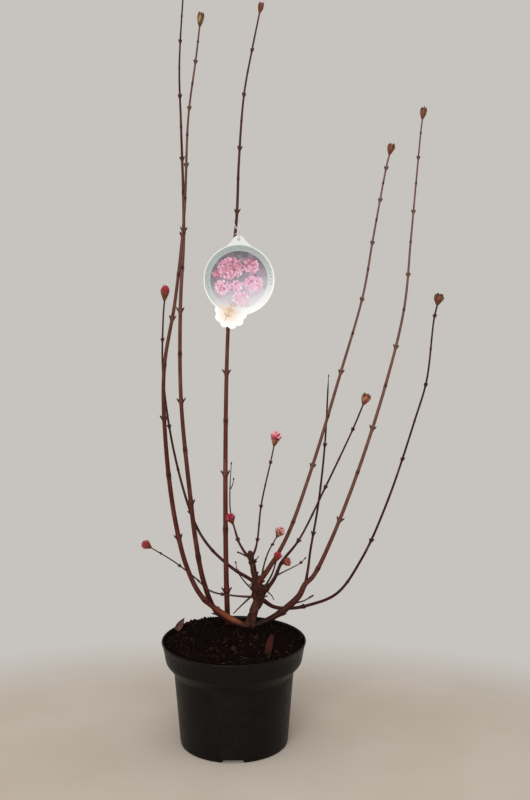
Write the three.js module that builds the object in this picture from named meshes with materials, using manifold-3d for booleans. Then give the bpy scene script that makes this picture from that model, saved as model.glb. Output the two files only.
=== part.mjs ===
// Potted bodnant viburnum in winter: bare canes with paired buds and flower heads, in a black nursery pot.
// Millimetres, +Z up. The origin is the centre of the pot's flat underside, and the viewer stands at -Y.
import * as THREE from 'three';
import { mergeVertices } from 'three/addons/utils/BufferGeometryUtils.js';
import Module from 'manifold-3d';

const wasm = await Module();
wasm.setup();

// Driving dimensions of the pot
const RIM_DIAMETER = 190;
const POT_HEIGHT = 140;
const POT_WALL = 1.6;
const BASE_THICKNESS = 2;
const RIM_BAND_HEIGHT = 28.3;
const RIM_BAND_DRAFT = 5.4;
const SHOULDER_DROP = 12.5;
const WALL_TOP_RADIUS = 79;
const WALL_FOOT_RADIUS = 71.4;
const FOOT_ROUND = 2;
const POT_SEGMENTS = 40;
const DRAIN_COUNT = 4;
const DRAIN_WIDTH = 30;
const DRAIN_DEPTH = 24;
const DRAIN_HEIGHT = 4.5;
const DRAIN_SLOPE = 3;

// Driving dimensions of the soil
const CLEARANCE = 0.3;
const SOIL_BELOW_RIM = 5;
const GROUND = 139;
const CROWN_CENTRE = [12, 52];
const CROWN_FLAT_RADIUS = 36;
const MOUND_RADIUS = 76;
const SOIL_RINGS = 5;
const SOIL_ROUGHNESS = 1.1;
const LEAF_FOOT = [-79, 42, 137];
const LEAF_TIP = [-68, 45, 154];
const LEAF_WIDTH = 9;
const LEAF_THICKNESS = 0.7;

// Driving dimensions of the plant's growth
const NODE_CLEAR_FOOT = 28;
const NODE_SWELL = 0.3;
const NODE_REACH = 1.1;
const BUD_LENGTH = 5.2;
const BUD_WIDTH = 2.3;
const BUD_LEAN = 38;
const BUD_SIDES = 3;
const RING_BEND = 6;
const RING_STEP = 4;
const RING_GAP = 0.6;
const STEM_SIDES = 10;
const CANE_SIDES = 6;
const TWIG_SIDES = 5;

// Driving dimensions of the hang label
const LABEL_CENTRE = [7, 59, 609];
const LABEL_RADIUS = 46.5;
const LABEL_THICKNESS = 0.9;
const LABEL_NECK_WIDTH = 32;
const LABEL_TAB_RADIUS = 9;
const LABEL_TAB_TOP = 57.5;
const LABEL_HOLE_RADIUS = 2.2;
const LABEL_HOLE_HEIGHT = 52.5;
const SCALLOP_CENTRE = [-11, -43];
const SCALLOP_CORE = 14;
const SCALLOP_RING = 15;
const SCALLOP_LOBE = 6.5;
const SCALLOP_COUNT = 6;
const TIE_RADIUS = 0.5;
const TIE_GRIP = 3.2;
const TIE_TOP = 684;

const lerp = THREE.MathUtils.lerp;
const rad = THREE.MathUtils.degToRad;
const smooth = (t) => t * t * (3 - 2 * t);
const clamp01 = (t) => THREE.MathUtils.clamp(t, 0, 1);
const vector = (p) => new THREE.Vector3(...p);

const finish = (color, roughness) => new THREE.MeshStandardMaterial({ color, roughness, metalness: 0 });
const BLACK_PLASTIC = finish(0x1b1918, 0.45);
const PEAT = finish(0x1c1512, 0.95);
const OLD_BARK = finish(0x3a2a22, 0.85);
const CANE_BARK = finish(0x59302a, 0.6);
const TWIG_BARK = finish(0x5c4038, 0.7);
const LABEL_CARD = finish(0xdadfdc, 0.35);
const TIE_THREAD = finish(0xcfc8bf, 0.6);
const DRY_LEAF = finish(0x5a3426, 0.8);

// Solids

// A closed solid from any geometry, with its shared corners merged and its empty triangles dropped
function solidOf(geometry) {
  const bare = new THREE.BufferGeometry();
  bare.setAttribute('position', geometry.getAttribute('position').clone());
  if (geometry.index) bare.setIndex(geometry.index.clone());
  const merged = mergeVertices(bare, 1e-4);
  const corners = [];
  for (let i = 0; i < merged.index.count; i += 3) {
    const face = [0, 1, 2].map((k) => merged.index.getX(i + k));
    if (new Set(face).size === 3) corners.push(...face);
  }
  return new wasm.Manifold(new wasm.Mesh({
    numProp: 3,
    vertProperties: new Float32Array(merged.getAttribute('position').array),
    triVerts: new Uint32Array(corners),
  }));
}

function solidOfFaces(corners, faces) {
  const geometry = new THREE.BufferGeometry();
  geometry.setAttribute('position', new THREE.BufferAttribute(new Float32Array(corners.flat()), 3));
  geometry.setIndex(faces);
  return solidOf(geometry);
}

function meshOf(name, solid, material) {
  const { vertProperties, triVerts } = solid.getMesh();
  const geometry = new THREE.BufferGeometry();
  geometry.setAttribute('position', new THREE.BufferAttribute(new Float32Array(vertProperties), 3));
  geometry.setIndex(new THREE.BufferAttribute(new Uint32Array(triVerts), 1));
  geometry.computeVertexNormals();
  const mesh = new THREE.Mesh(geometry, material);
  mesh.name = name;
  return mesh;
}

const joined = (solids) => solids.reduce((all, next) => all.add(next));

// The largest body of a solid: what a cut leaves loose is dropped
const largest = (solid) => solid.decompose().sort((a, b) => b.volume() - a.volume())[0];

// A profile of [radius, height] points turned about the Z axis
const turned = (profile, segments) =>
  solidOf(new THREE.LatheGeometry(profile.map(([r, z]) => new THREE.Vector2(r, z)), segments)
    .rotateX(Math.PI / 2));

// A turned shape stood on a point, with its axis along a direction
function stood(profile, segments, point, direction) {
  const up = new THREE.Vector3(0, 1, 0);
  const turn = new THREE.Quaternion().setFromUnitVectors(up, direction.clone().normalize());
  return solidOf(new THREE.LatheGeometry(profile.map(([r, h]) => new THREE.Vector2(r, h)), segments)
    .applyQuaternion(turn)
    .translate(point.x, point.y, point.z));
}

// Pot

const RIM_RADIUS = RIM_DIAMETER / 2;
const BAND_FOOT = POT_HEIGHT - RIM_BAND_HEIGHT;
const BAND_ROUND = 1.5;
const WALL_TOP = BAND_FOOT - SHOULDER_DROP;

// The wall's outline from its foot to the rim, moved inwards by a distance
const potWall = (inset, foot) => [
  [WALL_FOOT_RADIUS - inset, foot],
  [WALL_TOP_RADIUS - inset, WALL_TOP],
  [RIM_RADIUS - RIM_BAND_DRAFT - BAND_ROUND - inset, BAND_FOOT - BAND_ROUND / 2],
  [RIM_RADIUS - RIM_BAND_DRAFT - inset, BAND_FOOT + BAND_ROUND],
  [RIM_RADIUS - inset, POT_HEIGHT],
];

// A drain recess with sloped sides, open at the wall and below
function drainRecess(angle) {
  return drainBlock(angle, 0, 1, 4);
}

// The plastic over a recess, or with more margin the room that the soil leaves for it
function drainHousing(angle, margin) {
  return drainBlock(angle, margin, 0, 0);
}

function drainBlock(angle, margin, below, beyond) {
  const half = DRAIN_WIDTH / 2 + margin;
  const outline = new THREE.Shape([
    new THREE.Vector2(-half, -below),
    new THREE.Vector2(half, -below),
    new THREE.Vector2(half - DRAIN_SLOPE, DRAIN_HEIGHT + margin),
    new THREE.Vector2(-half + DRAIN_SLOPE, DRAIN_HEIGHT + margin),
  ]);
  const depth = DRAIN_DEPTH + margin + beyond;
  return solidOf(new THREE.ExtrudeGeometry(outline, { depth, bevelEnabled: false })
    .rotateX(Math.PI / 2)
    .translate(0, depth - WALL_FOOT_RADIUS - beyond, 0)
    .rotateZ(angle));
}

const drainAngles = Array.from({ length: DRAIN_COUNT }, (_, i) => (i * 2 * Math.PI) / DRAIN_COUNT);

function pot() {
  const roundedFoot = [[0, 0], [WALL_FOOT_RADIUS - FOOT_ROUND, 0], ...potWall(0, FOOT_ROUND)];
  const inner = potWall(POT_WALL, BASE_THICKNESS).reverse();
  const shell = turned([...roundedFoot, ...inner, [0, BASE_THICKNESS]], POT_SEGMENTS);
  const middleOfWall = turned([[0, 0], ...potWall(POT_WALL / 2, 0), [0, POT_HEIGHT]], POT_SEGMENTS);
  const housings = drainAngles.map((angle) => drainHousing(angle, POT_WALL).intersect(middleOfWall));
  const recesses = drainAngles.map(drainRecess);
  return meshOf('pot', joined([shell, ...housings]).subtract(joined(recesses)), BLACK_PLASTIC);
}

// Soil: it fills the pot and rises in a low mound to the flat ground round the plant's foot

const SOIL_EDGE = POT_HEIGHT - SOIL_BELOW_RIM;
const SOIL_EDGE_DRAFT = (RIM_BAND_DRAFT * SOIL_BELOW_RIM) / RIM_BAND_HEIGHT;
const SOIL_EDGE_RADIUS = RIM_RADIUS - POT_WALL - CLEARANCE - SOIL_EDGE_DRAFT;
const SOIL_EDGE_SLOPE = 22;
const SOIL_CAP_DEPTH = 4;

function soilHeight(x, y) {
  const fromCrown = Math.hypot(x - CROWN_CENTRE[0], y - CROWN_CENTRE[1]);
  const mound = smooth(clamp01((MOUND_RADIUS - fromCrown) / (MOUND_RADIUS - CROWN_FLAT_RADIUS)));
  const inside = clamp01((SOIL_EDGE_RADIUS - Math.hypot(x, y)) / SOIL_EDGE_SLOPE);
  const waves = Math.sin(x * 0.21 + y * 0.13) + Math.sin(x * 0.09 - y * 0.24 + 2);
  const level = lerp(SOIL_EDGE, GROUND - CLEARANCE, smooth(inside) * (0.35 + 0.65 * mound));
  return level + SOIL_ROUGHNESS * waves * (1 - mound) * inside;
}

// The uneven top: rings of corners round the middle, closed by a flat floor a little way down
function soilCap() {
  const ringAt = (radius, heightAt) => Array.from({ length: POT_SEGMENTS }, (_, i) => {
    const turn = (i * 2 * Math.PI) / POT_SEGMENTS;
    const [x, y] = [radius * Math.cos(turn), radius * Math.sin(turn)];
    return [x, y, heightAt(x, y)];
  });
  const floor = SOIL_EDGE - SOIL_CAP_DEPTH;
  const rings = [];
  for (let k = 1; k < SOIL_RINGS; k++) rings.push(ringAt((SOIL_EDGE_RADIUS * k) / SOIL_RINGS, soilHeight));
  rings.push(ringAt(SOIL_EDGE_RADIUS, () => SOIL_EDGE));
  rings.push(ringAt(SOIL_EDGE_RADIUS - 1, () => floor));
  const corners = [[0, 0, soilHeight(0, 0)], ...rings.flat(), [0, 0, floor]];
  const at = (ring, i) => 1 + ring * POT_SEGMENTS + (i % POT_SEGMENTS);
  const faces = [];
  for (let i = 0; i < POT_SEGMENTS; i++) {
    faces.push(0, at(0, i), at(0, i + 1));
    for (let ring = 0; ring < rings.length - 1; ring++) {
      faces.push(at(ring, i), at(ring + 1, i), at(ring + 1, i + 1));
      faces.push(at(ring, i), at(ring + 1, i + 1), at(ring, i + 1));
    }
    faces.push(corners.length - 1, at(rings.length - 1, i + 1), at(rings.length - 1, i));
  }
  return solidOfFaces(corners, faces);
}

function soil() {
  const wall = potWall(POT_WALL + CLEARANCE, BASE_THICKNESS + CLEARANCE).slice(0, -1);
  const profile = [[0, wall[0][1]], ...wall, [SOIL_EDGE_RADIUS, SOIL_EDGE], [0, SOIL_EDGE]];
  const housings = drainAngles.map((angle) => drainHousing(angle, POT_WALL + CLEARANCE));
  return meshOf('soil', turned(profile, POT_SEGMENTS).add(soilCap()).subtract(joined(housings)), PEAT);
}

// A dry leaf that stands, curled along its length, on the soil by the rim
function dryLeaf() {
  const foot = vector(LEAF_FOOT);
  const along = vector(LEAF_TIP).sub(foot);
  const [across, out] = sideways(along.clone().normalize(), rad(20));
  const rows = 5;
  const columns = 4;
  const skin = (lift) => {
    const points = [];
    for (let row = 0; row <= rows; row++) {
      const half = (LEAF_WIDTH / 2) * Math.max(0.12, Math.sin(Math.PI * (0.1 + (0.86 * row) / rows)));
      for (let column = 0; column <= columns; column++) {
        const u = (2 * column) / columns - 1;
        const point = foot.clone()
          .addScaledVector(along, row / rows)
          .addScaledVector(across, half * u)
          .addScaledVector(out, half * 0.9 * (1 - u * u) + lift);
        points.push(point.toArray());
      }
    }
    return points;
  };
  const corners = [...skin(-LEAF_THICKNESS / 2), ...skin(LEAF_THICKNESS / 2)];
  const width = columns + 1;
  const upper = corners.length / 2;
  const faces = [];
  const quad = (a, b, c, d) => faces.push(a, c, b, a, d, c);
  for (let row = 0; row < rows; row++) {
    for (let column = 0; column < columns; column++) {
      const a = row * width + column;
      quad(a, a + width, a + width + 1, a + 1);
      quad(upper + a, upper + a + 1, upper + a + width + 1, upper + a + width);
    }
    const left = row * width;
    const right = left + columns;
    quad(left, upper + left, upper + left + width, left + width);
    quad(right, right + width, upper + right + width, upper + right);
  }
  for (let column = 0; column < columns; column++) {
    const last = rows * width + column;
    quad(column, column + 1, upper + column + 1, upper + column);
    quad(last, upper + last, upper + last + 1, last + 1);
  }
  return meshOf('dry_leaf', solidOfFaces(corners, faces), DRY_LEAF);
}

// Limbs: each is one tapering tube along a smooth curve, swollen at its nodes, with a pair of buds at each
//   way    a few points that the limb grows through, from its foot to its tip
//   girth  its diameter at shares of its length
//   nodes  first: from the tip down to the last pair of buds; gap: the shortest gap between pairs, and
//          growth: how much each gap adds for its distance from the tip; turn: which way the last pair
//          faces, in degrees from +X, where each pair below is turned by 90
//   lumps  swellings of old wood: share of the length, bearing in degrees, diameter
//   spurs  short side shoots, given like limbs
//   head   the flower head at the tip

const LIMBS = {
  old_stem: {
    way: [[19, 52, 137], [26, 52, 161], [32, 52, 177], [31, 52, 193], [27, 51, 212], [23, 50, 232],
      [21, 50, 244]],
    girth: [[0, 13.5], [0.2, 12], [0.34, 13], [0.45, 17.5], [0.58, 14], [0.7, 8.4], [0.85, 6.6],
      [0.94, 7.6], [1, 6]],
    lumps: [[0.38, 75, 8], [0.42, -35, 8.5], [0.47, 140, 9], [0.53, 15, 8.5], [0.57, 205, 8],
      [0.95, 180, 4], [0.95, 20, 3.6]],
    spurs: [
      { way: [[33, 52, 184], [39, 50, 190], [44, 48, 198]],
        girth: [[0, 10], [0.6, 8.5], [0.9, 9.5], [1, 6]] },
      { way: [[22, 50, 237], [12, 46, 242], [4, 44, 246]], girth: [[0, 2.6], [1, 1.4]] },
      { way: [[25, 50, 229], [28, 52, 232], [32, 54, 237]], girth: [[0, 2.8], [1, 1.6]] },
    ],
  },
  cane_tall_right: {
    way: [[22, 52, 139], [38, 50, 146], [54, 48, 155], [70, 47, 167], [87, 45, 185],
      [95, 45, 201], [106, 46, 212],
      [130, 48, 262], [166, 56, 356], [202, 68, 470], [226, 80, 570], [235, 92, 664], [248, 112, 804],
      [250, 115, 819]],
    girth: [[0, 6.6], [0.085, 9.4], [0.115, 8], [0.155, 6], [0.26, 5], [0.5, 4.2], [0.65, 3.4], [0.8, 2.7],
      [1, 2]],
    nodes: { first: 20, gap: 30.7, growth: 0.077, turn: 90 },
    head: { kind: 'closed', length: 16.5, width: 8.2 },
  },
  cane_outer_left: {
    way: [[20, 51, 136], [-14, 45, 159], [-43, 40, 184], [-63, 36, 226], [-78, 30, 294], [-88, 18, 397],
      [-88, 6, 497], [-72, -4, 587], [-59, -14, 693], [-52, -24, 811], [-42, -30, 878], [-37, -33, 915]],
    girth: [[0, 7.6], [0.15, 6.4], [0.3, 6], [0.45, 5], [0.6, 4.2], [0.75, 3.2], [0.87, 2.5], [1, 2]],
    nodes: { first: 18, gap: 21, growth: 0.117, turn: 90 },
    head: { kind: 'closed', length: 17, width: 7.4 },
  },
  cane_middle: {
    way: [[-10, 62, 136], [-12, 62, 226], [-12, 62, 370], [-9, 64, 516], [-3, 66, 621], [4, 69, 690],
      [7, 71, 760], [14, 75, 847], [25, 78, 906], [34, 81, 949]],
    girth: [[0, 7.6], [0.12, 6.7], [0.3, 6], [0.45, 5.1], [0.6, 4.2], [0.75, 3.2], [0.88, 2.5], [1, 2]],
    nodes: { first: 48, gap: 23, growth: 0.091, turn: 0 },
    head: { kind: 'closed', length: 14, width: 6.8 },
  },
  cane_tall_left: {
    way: [[5, 59, 136], [-15, 59, 150], [-28, 59, 162], [-43, 60, 202], [-53, 61, 258], [-60, 62, 321],
      [-71, 66, 449], [-71, 72, 571], [-66, 80, 673], [-69, 92, 808], [-71, 100, 883], [-66, 108, 970],
      [-61, 115, 1030]],
    girth: [[0, 7.4], [0.15, 6.6], [0.35, 5.3], [0.55, 4.8], [0.7, 3.4], [0.85, 2.3], [1, 1.8]],
    nodes: { first: 24, gap: 26.4, growth: 0.069, turn: 90 },
    head: { kind: 'closed', length: 15, width: 7.4 },
  },
  cane_slim_left: {
    way: [[27, 52, 202], [16, 58, 207], [-2, 66, 216], [-34, 73, 244], [-55, 78, 278], [-83, 88, 375],
      [-97, 94, 480], [-96, 97, 555], [-94, 98, 580]],
    girth: [[0, 5.4], [0.1, 4.2], [0.3, 3.5], [0.6, 3], [1, 2.2]],
    nodes: { first: 54, gap: 58, growth: 0.012, turn: 0 },
    head: { kind: 'open', length: 20.5, width: 11.5 },
  },
  cane_inner_right: {
    way: [[31, 51, 200], [46, 42, 224], [70, 30, 271], [101, 10, 366], [135, -20, 493], [161, -45, 596],
      [171, -60, 665], [184, -78, 749], [187, -81, 763]],
    girth: [[0, 8], [0.1, 5.4], [0.3, 4.3], [0.5, 3.8], [0.65, 3], [0.8, 2.6], [1, 2]],
    nodes: { first: 17, gap: 14.7, growth: 0.17, turn: 0 },
    head: { kind: 'closed', length: 13, width: 8 },
  },
  cane_slim_right: {
    way: [[42, 48, 191], [54, 50, 208], [63, 54, 228], [87, 62, 258], [124, 82, 328], [162, 104, 404],
      [176, 112, 436]],
    girth: [[0, 6], [0.12, 4.6], [0.3, 3], [0.6, 2.7], [1, 2.3]],
    nodes: { first: 38, gap: 46, growth: -0.037, turn: 0 },
    spurs: [{ way: [[62, 53, 225], [65, 49, 228], [67, 46, 230]], girth: [[0, 2.4], [1, 1.8]],
      head: { kind: 'red', length: 12, width: 11 } }],
    head: { kind: 'closed', length: 16, width: 12 },
  },
  cane_upright_right: {
    way: [[95, 45, 199], [99, 46, 223], [102, 46, 248], [112, 45, 311], [120, 42, 392], [124, 38, 484]],
    girth: [[0, 4.4], [0.12, 3.3], [0.6, 2.7], [0.94, 2.1], [1, 0.7]],
    nodes: { first: 39, gap: 49, growth: 0.1, turn: 90 },
  },
  cane_outer_right: {
    way: [[31, 53, 182], [40, 56, 174], [53, 58, 165], [76, 58, 163], [100, 53, 169], [137, 38, 190],
      [169, 18, 245], [199, -10, 330], [228, -45, 443], [239, -59, 492], [244, -76, 568], [247, -81, 587]],
    girth: [[0, 7], [0.06, 5], [0.14, 4.2], [0.3, 3.4], [0.5, 2.9], [0.8, 2.4], [1, 2]],
    nodes: { first: 15, gap: 41, growth: 0.093, turn: 0 },
    head: { kind: 'closed', length: 13.5, width: 11 },
  },
  twig_left: {
    way: [[26, 51, 181], [-1, 51, 183], [-32, 49, 190], [-54, 47, 210], [-81, 40, 234], [-111, 31, 256]],
    girth: [[0, 3.6], [0.15, 2.6], [0.5, 2.1], [1, 1.5]],
    nodes: { first: 17, gap: 30, growth: 0.1, turn: 90 },
    head: { kind: 'open', length: 14, width: 11.5 },
  },
  twig_fork_left: {
    way: [[21, 50, 235], [13, 44, 247], [5, 38, 264], [0, 31, 284], [-2, 29, 290]],
    girth: [[0, 4.4], [0.4, 3.2], [1, 2.2]],
    nodes: { first: 28, gap: 40, growth: 0, turn: 0 },
    spurs: [
      { way: [[5, 37, 266], [-1, 43, 284], [-5, 48, 298], [-6, 51, 327], [-4, 54, 364]],
        girth: [[0, 2.4], [0.6, 1.8], [1, 1]] },
      { way: [[-5, 51, 331], [-2, 50, 338], [-1, 49, 344]], girth: [[0, 1.6], [1, 0.9]] },
    ],
    head: { kind: 'pink', length: 15.5, width: 11.5 },
  },
  twig_fork_right: {
    way: [[23, 49, 236], [28, 46, 249], [31, 43, 264], [36, 34, 313], [49, 20, 377], [53, 15, 398]],
    girth: [[0, 4], [0.15, 2.6], [0.5, 2.3], [1, 1.8]],
    nodes: { first: 26, gap: 38, growth: -0.13, turn: 0 },
    head: { kind: 'pink', length: 20, width: 12.5 },
  },
  twig_front: {
    way: [[36, 49, 205], [39, 41, 226], [45, 30, 249], [53, 18, 268], [57, 14, 276]],
    girth: [[0, 3.4], [0.3, 2.2], [1, 1.7]],
    nodes: { first: 17, gap: 29, growth: 0, turn: 0 },
    head: { kind: 'pink', length: 16, width: 11.5 },
  },
  twig_red: {
    way: [[38, 50, 191], [43, 42, 202], [51, 34, 220], [56, 28, 239]],
    girth: [[0, 4], [0.4, 2.6], [1, 2]],
    head: { kind: 'red', length: 14, width: 10 },
  },
  twig_bare_left: {
    way: [[28, 50, 189], [16, 44, 202], [4, 40, 221], [2, 39, 232]],
    girth: [[0, 3], [0.4, 2], [1, 1.1]],
    nodes: { first: 12, gap: 30, growth: 0, turn: 0 },
  },
  twig_bare_right: {
    way: [[56, 51, 211], [63, 47, 216], [75, 41, 224], [88, 36, 233], [94, 33, 240]],
    girth: [[0, 2.6], [0.3, 1.8], [1, 1.1]],
    nodes: { first: 9, gap: 30, growth: 0, turn: 0 },
  },
  twig_low: {
    way: [[26, 53, 185], [8, 58, 166], [-2, 60, 155]],
    girth: [[0, 3.2], [0.5, 2.3], [1, 1.5]],
  },
  stub_low: {
    way: [[40, 47, 193], [50, 39, 187], [53, 36, 182]],
    girth: [[0, 2.2], [1, 1.2]],
  },
  stub_dead: {
    way: [[83, 45, 175], [93, 38, 180], [104, 31, 189]],
    girth: [[0, 2.4], [0.75, 1.8], [0.88, 3], [1, 1.6]],
  },
};

const KINDS = {
  old: { sides: STEM_SIDES, bark: OLD_BARK },
  cane: { sides: CANE_SIDES, bark: CANE_BARK },
  twig: { sides: TWIG_SIDES, bark: TWIG_BARK },
  stub: { sides: TWIG_SIDES, bark: TWIG_BARK },
};
const kindOf = (name) => KINDS[name.split('_')[0]];

function centreLine(way) {
  const curve = new THREE.CatmullRomCurve3(way.map(vector), false, 'centripetal');
  curve.arcLengthDivisions = 600;
  return curve;
}

// The diameter at a share of the length, read between the named shares
function girthAt(girth, share) {
  const next = girth.findIndex(([at]) => at >= share);
  if (next < 1) return girth.at(next)[1];
  const [a, before] = girth[next - 1];
  const [b, after] = girth[next];
  return lerp(before, after, (share - a) / (b - a));
}

// Nodes are counted down from the tip, and the gaps between them grow towards the foot
function nodePlaces({ nodes }, length) {
  const places = [];
  if (!nodes) return places;
  let turn = nodes.turn;
  for (let s = length - nodes.first; s > Math.min(NODE_CLEAR_FOOT, length / 3); turn += 90) {
    places.push({ s, turn });
    s -= nodes.gap + nodes.growth * (length - s);
  }
  return places;
}

// Two directions square to the limb, the first of them as near as can be to a level bearing
function sideways(tangent, bearing) {
  const side = new THREE.Vector3(Math.cos(bearing), Math.sin(bearing), 0);
  side.addScaledVector(tangent, -side.dot(tangent)).normalize();
  return [side, new THREE.Vector3().crossVectors(tangent, side)];
}

function tube(curve, places, radiusAt, sides) {
  const length = curve.getLength();
  const corners = [];
  const faces = [];
  places.forEach((s) => {
    const centre = curve.getPointAt(s / length);
    const [u, v] = sideways(curve.getTangentAt(s / length), Math.PI / 2);
    for (let i = 0; i < sides; i++) {
      const turn = (i * 2 * Math.PI) / sides;
      corners.push(centre.clone()
        .addScaledVector(u, radiusAt(s) * Math.cos(turn))
        .addScaledVector(v, radiusAt(s) * Math.sin(turn))
        .toArray());
    }
  });
  for (let ring = 0; ring < places.length - 1; ring++) {
    for (let i = 0; i < sides; i++) {
      const a = ring * sides + i;
      const b = ring * sides + ((i + 1) % sides);
      faces.push(a, b, b + sides, a, b + sides, a + sides);
    }
  }
  const last = (places.length - 1) * sides;
  for (let i = 1; i < sides - 1; i++) {
    faces.push(0, i + 1, i, last, last + i, last + i + 1);
  }
  return solidOfFaces(corners, faces);
}

// Rings at every mark, and wherever the limb has bent by so much since the last ring
function ringPlaces(curve, marks) {
  const length = curve.getLength();
  const within = marks.filter((s) => s > RING_GAP && s < length - RING_GAP);
  const places = [0];
  [...within, length].sort((a, b) => a - b).forEach((mark) => {
    for (let s = places.at(-1) + RING_STEP; s < mark - RING_STEP; s += RING_STEP) {
      const bend = curve.getTangentAt(places.at(-1) / length).angleTo(curve.getTangentAt(s / length));
      if (bend > rad(RING_BEND)) places.push(s);
    }
    if (mark - places.at(-1) > RING_GAP) places.push(mark);
  });
  return places;
}

const ball = (centre, radius, shape) => solidOf(shape(radius).translate(centre.x, centre.y, centre.z));
const knob = (radius) => new THREE.IcosahedronGeometry(radius, 0);
const floret = (radius) => new THREE.OctahedronGeometry(radius, 0);

// One bud of a pair, which leans out from the node towards the limb's tip
function bud(point, tangent, side, radius) {
  const lean = rad(BUD_LEAN);
  const direction = tangent.clone().multiplyScalar(Math.cos(lean)).addScaledVector(side, Math.sin(lean));
  const foot = point.clone().addScaledVector(side, radius * 0.35);
  const size = clamp01(0.55 + radius * 0.2);
  const profile = [[0, 0], [(BUD_WIDTH * size) / 2, BUD_LENGTH * size * 0.45], [0, BUD_LENGTH * size]];
  return stood(profile, BUD_SIDES, foot, direction);
}

// Flower heads: a scaled cone that widens upwards; the opening kinds have florets round their top
const HEAD_SHAPE = [[0.17, 0], [0.22, 0.14], [0.38, 0.38], [0.5, 0.66], [0.4, 0.88]];
const HEAD_SIDES = 7;
const FLORETS = { closed: 0, open: 5, red: 6, pink: 9 };
const GOLDEN_ANGLE = 137.508;

function head({ kind, length, width }, tip, tangent) {
  const profile = HEAD_SHAPE.map(([r, h]) => [r * width, h * length]);
  const parts = [stood([[0, -1], ...profile, [0, length]], HEAD_SIDES, tip, tangent)];
  const [u, v] = sideways(tangent, Math.PI / 2);
  for (let i = 0; i < FLORETS[kind]; i++) {
    const turn = rad(i * GOLDEN_ANGLE);
    const spread = Math.sqrt((i + 0.5) / FLORETS[kind]);
    const centre = tip.clone()
      .addScaledVector(tangent, length * lerp(0.84, 0.56, spread * spread))
      .addScaledVector(u, 0.4 * width * spread * Math.cos(turn))
      .addScaledVector(v, 0.4 * width * spread * Math.sin(turn));
    parts.push(ball(centre, width * 0.2, floret));
  }
  return joined(parts);
}

// A limb's wood, thicker all round by a margin where it is the room that the next limbs leave for it
function wood(limb, sides, margin) {
  const curve = centreLine(limb.way);
  const length = curve.getLength();
  const nodes = nodePlaces(limb, length);
  const plain = (s) => girthAt(limb.girth, s / length) / 2;
  const reachAt = (s) => NODE_REACH * 2 * plain(s) + 1;
  const radiusAt = (s) => {
    const swell = nodes.reduce((most, node) => Math.max(most, 1 - Math.abs(s - node.s) / reachAt(node.s)), 0);
    return plain(s) * (1 + NODE_SWELL * swell) + margin;
  };
  const marks = nodes.flatMap(({ s }) => [s - reachAt(s), s, s + reachAt(s)]);
  if (!limb.nodes) limb.girth.forEach(([share]) => marks.push(share * length));
  const parts = [tube(curve, ringPlaces(curve, marks), radiusAt, sides)];
  (limb.lumps ?? []).forEach(([share, bearing, size]) => {
    const [u, v] = sideways(curve.getTangentAt(share), 0);
    const out = plain(share * length) * 0.62;
    const point = curve.getPointAt(share)
      .addScaledVector(u, out * Math.cos(rad(bearing)))
      .addScaledVector(v, out * Math.sin(rad(bearing)));
    parts.push(ball(point, size / 2 + margin, knob));
  });
  (limb.spurs ?? []).forEach((spur) => parts.push(wood(spur, TWIG_SIDES, margin)));
  return joined(parts);
}

// Its buds and flower heads
function trimmings(limb) {
  const curve = centreLine(limb.way);
  const length = curve.getLength();
  const parts = nodePlaces(limb, length).flatMap(({ s, turn }) => {
    const point = curve.getPointAt(s / length);
    const tangent = curve.getTangentAt(s / length);
    const [side] = sideways(tangent, rad(turn));
    const radius = girthAt(limb.girth, s / length) / 2;
    return [bud(point, tangent, side, radius), bud(point, tangent, side.clone().negate(), radius)];
  });
  if (limb.head) parts.push(head(limb.head, curve.getPointAt(1), curve.getTangentAt(1)));
  return [...parts, ...(limb.spurs ?? []).flatMap(trimmings)];
}

// Each limb is cut level at the ground, and cut clear of the limbs before it
function plant() {
  const size = 2 * RIM_DIAMETER;
  const underground = solidOf(new THREE.BoxGeometry(size, size, GROUND).translate(0, 0, GROUND / 2));
  let taken = underground;
  return Object.entries(LIMBS).map(([name, limb]) => {
    const { sides, bark } = kindOf(name);
    const whole = joined([wood(limb, sides, 0), ...trimmings(limb)]);
    const solid = largest(whole.subtract(taken));
    taken = taken.add(wood(limb, sides, CLEARANCE));
    return meshOf(name, solid, bark);
  });
}

// Hang label: a round card with a tab for its tie at the top and a scalloped tab at its lower left

function card(shape, curveSegments) {
  const sheet = { depth: LABEL_THICKNESS, bevelEnabled: false, curveSegments };
  return solidOf(new THREE.ExtrudeGeometry(shape, sheet)
    .rotateX(Math.PI / 2)
    .translate(...LABEL_CENTRE));
}

function disc(x, z, radius) {
  const shape = new THREE.Shape();
  shape.absarc(x, z, radius, 0, Math.PI * 2, false);
  return card(shape, 6);
}

function label() {
  const outline = new THREE.Shape();
  const neck = Math.asin(LABEL_NECK_WIDTH / 2 / LABEL_RADIUS);
  outline.absarc(0, 0, LABEL_RADIUS, Math.PI / 2 + neck, Math.PI * 2.5 - neck, false);
  outline.absarc(0, LABEL_TAB_TOP - LABEL_TAB_RADIUS, LABEL_TAB_RADIUS, 0.3, Math.PI - 0.3, false);
  const hole = new THREE.Path();
  hole.absarc(0, LABEL_HOLE_HEIGHT, LABEL_HOLE_RADIUS, 0, Math.PI * 2, true);
  outline.holes.push(hole);
  const [x, z] = SCALLOP_CENTRE;
  const parts = [card(outline, 12), disc(x, z, SCALLOP_CORE)];
  for (let i = 0; i < SCALLOP_COUNT; i++) {
    const turn = rad(lerp(165, 350, i / (SCALLOP_COUNT - 1)));
    parts.push(disc(x + SCALLOP_RING * Math.cos(turn), z + SCALLOP_RING * Math.sin(turn), SCALLOP_LOBE));
  }
  return meshOf('label', joined(parts), LABEL_CARD);
}

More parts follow.
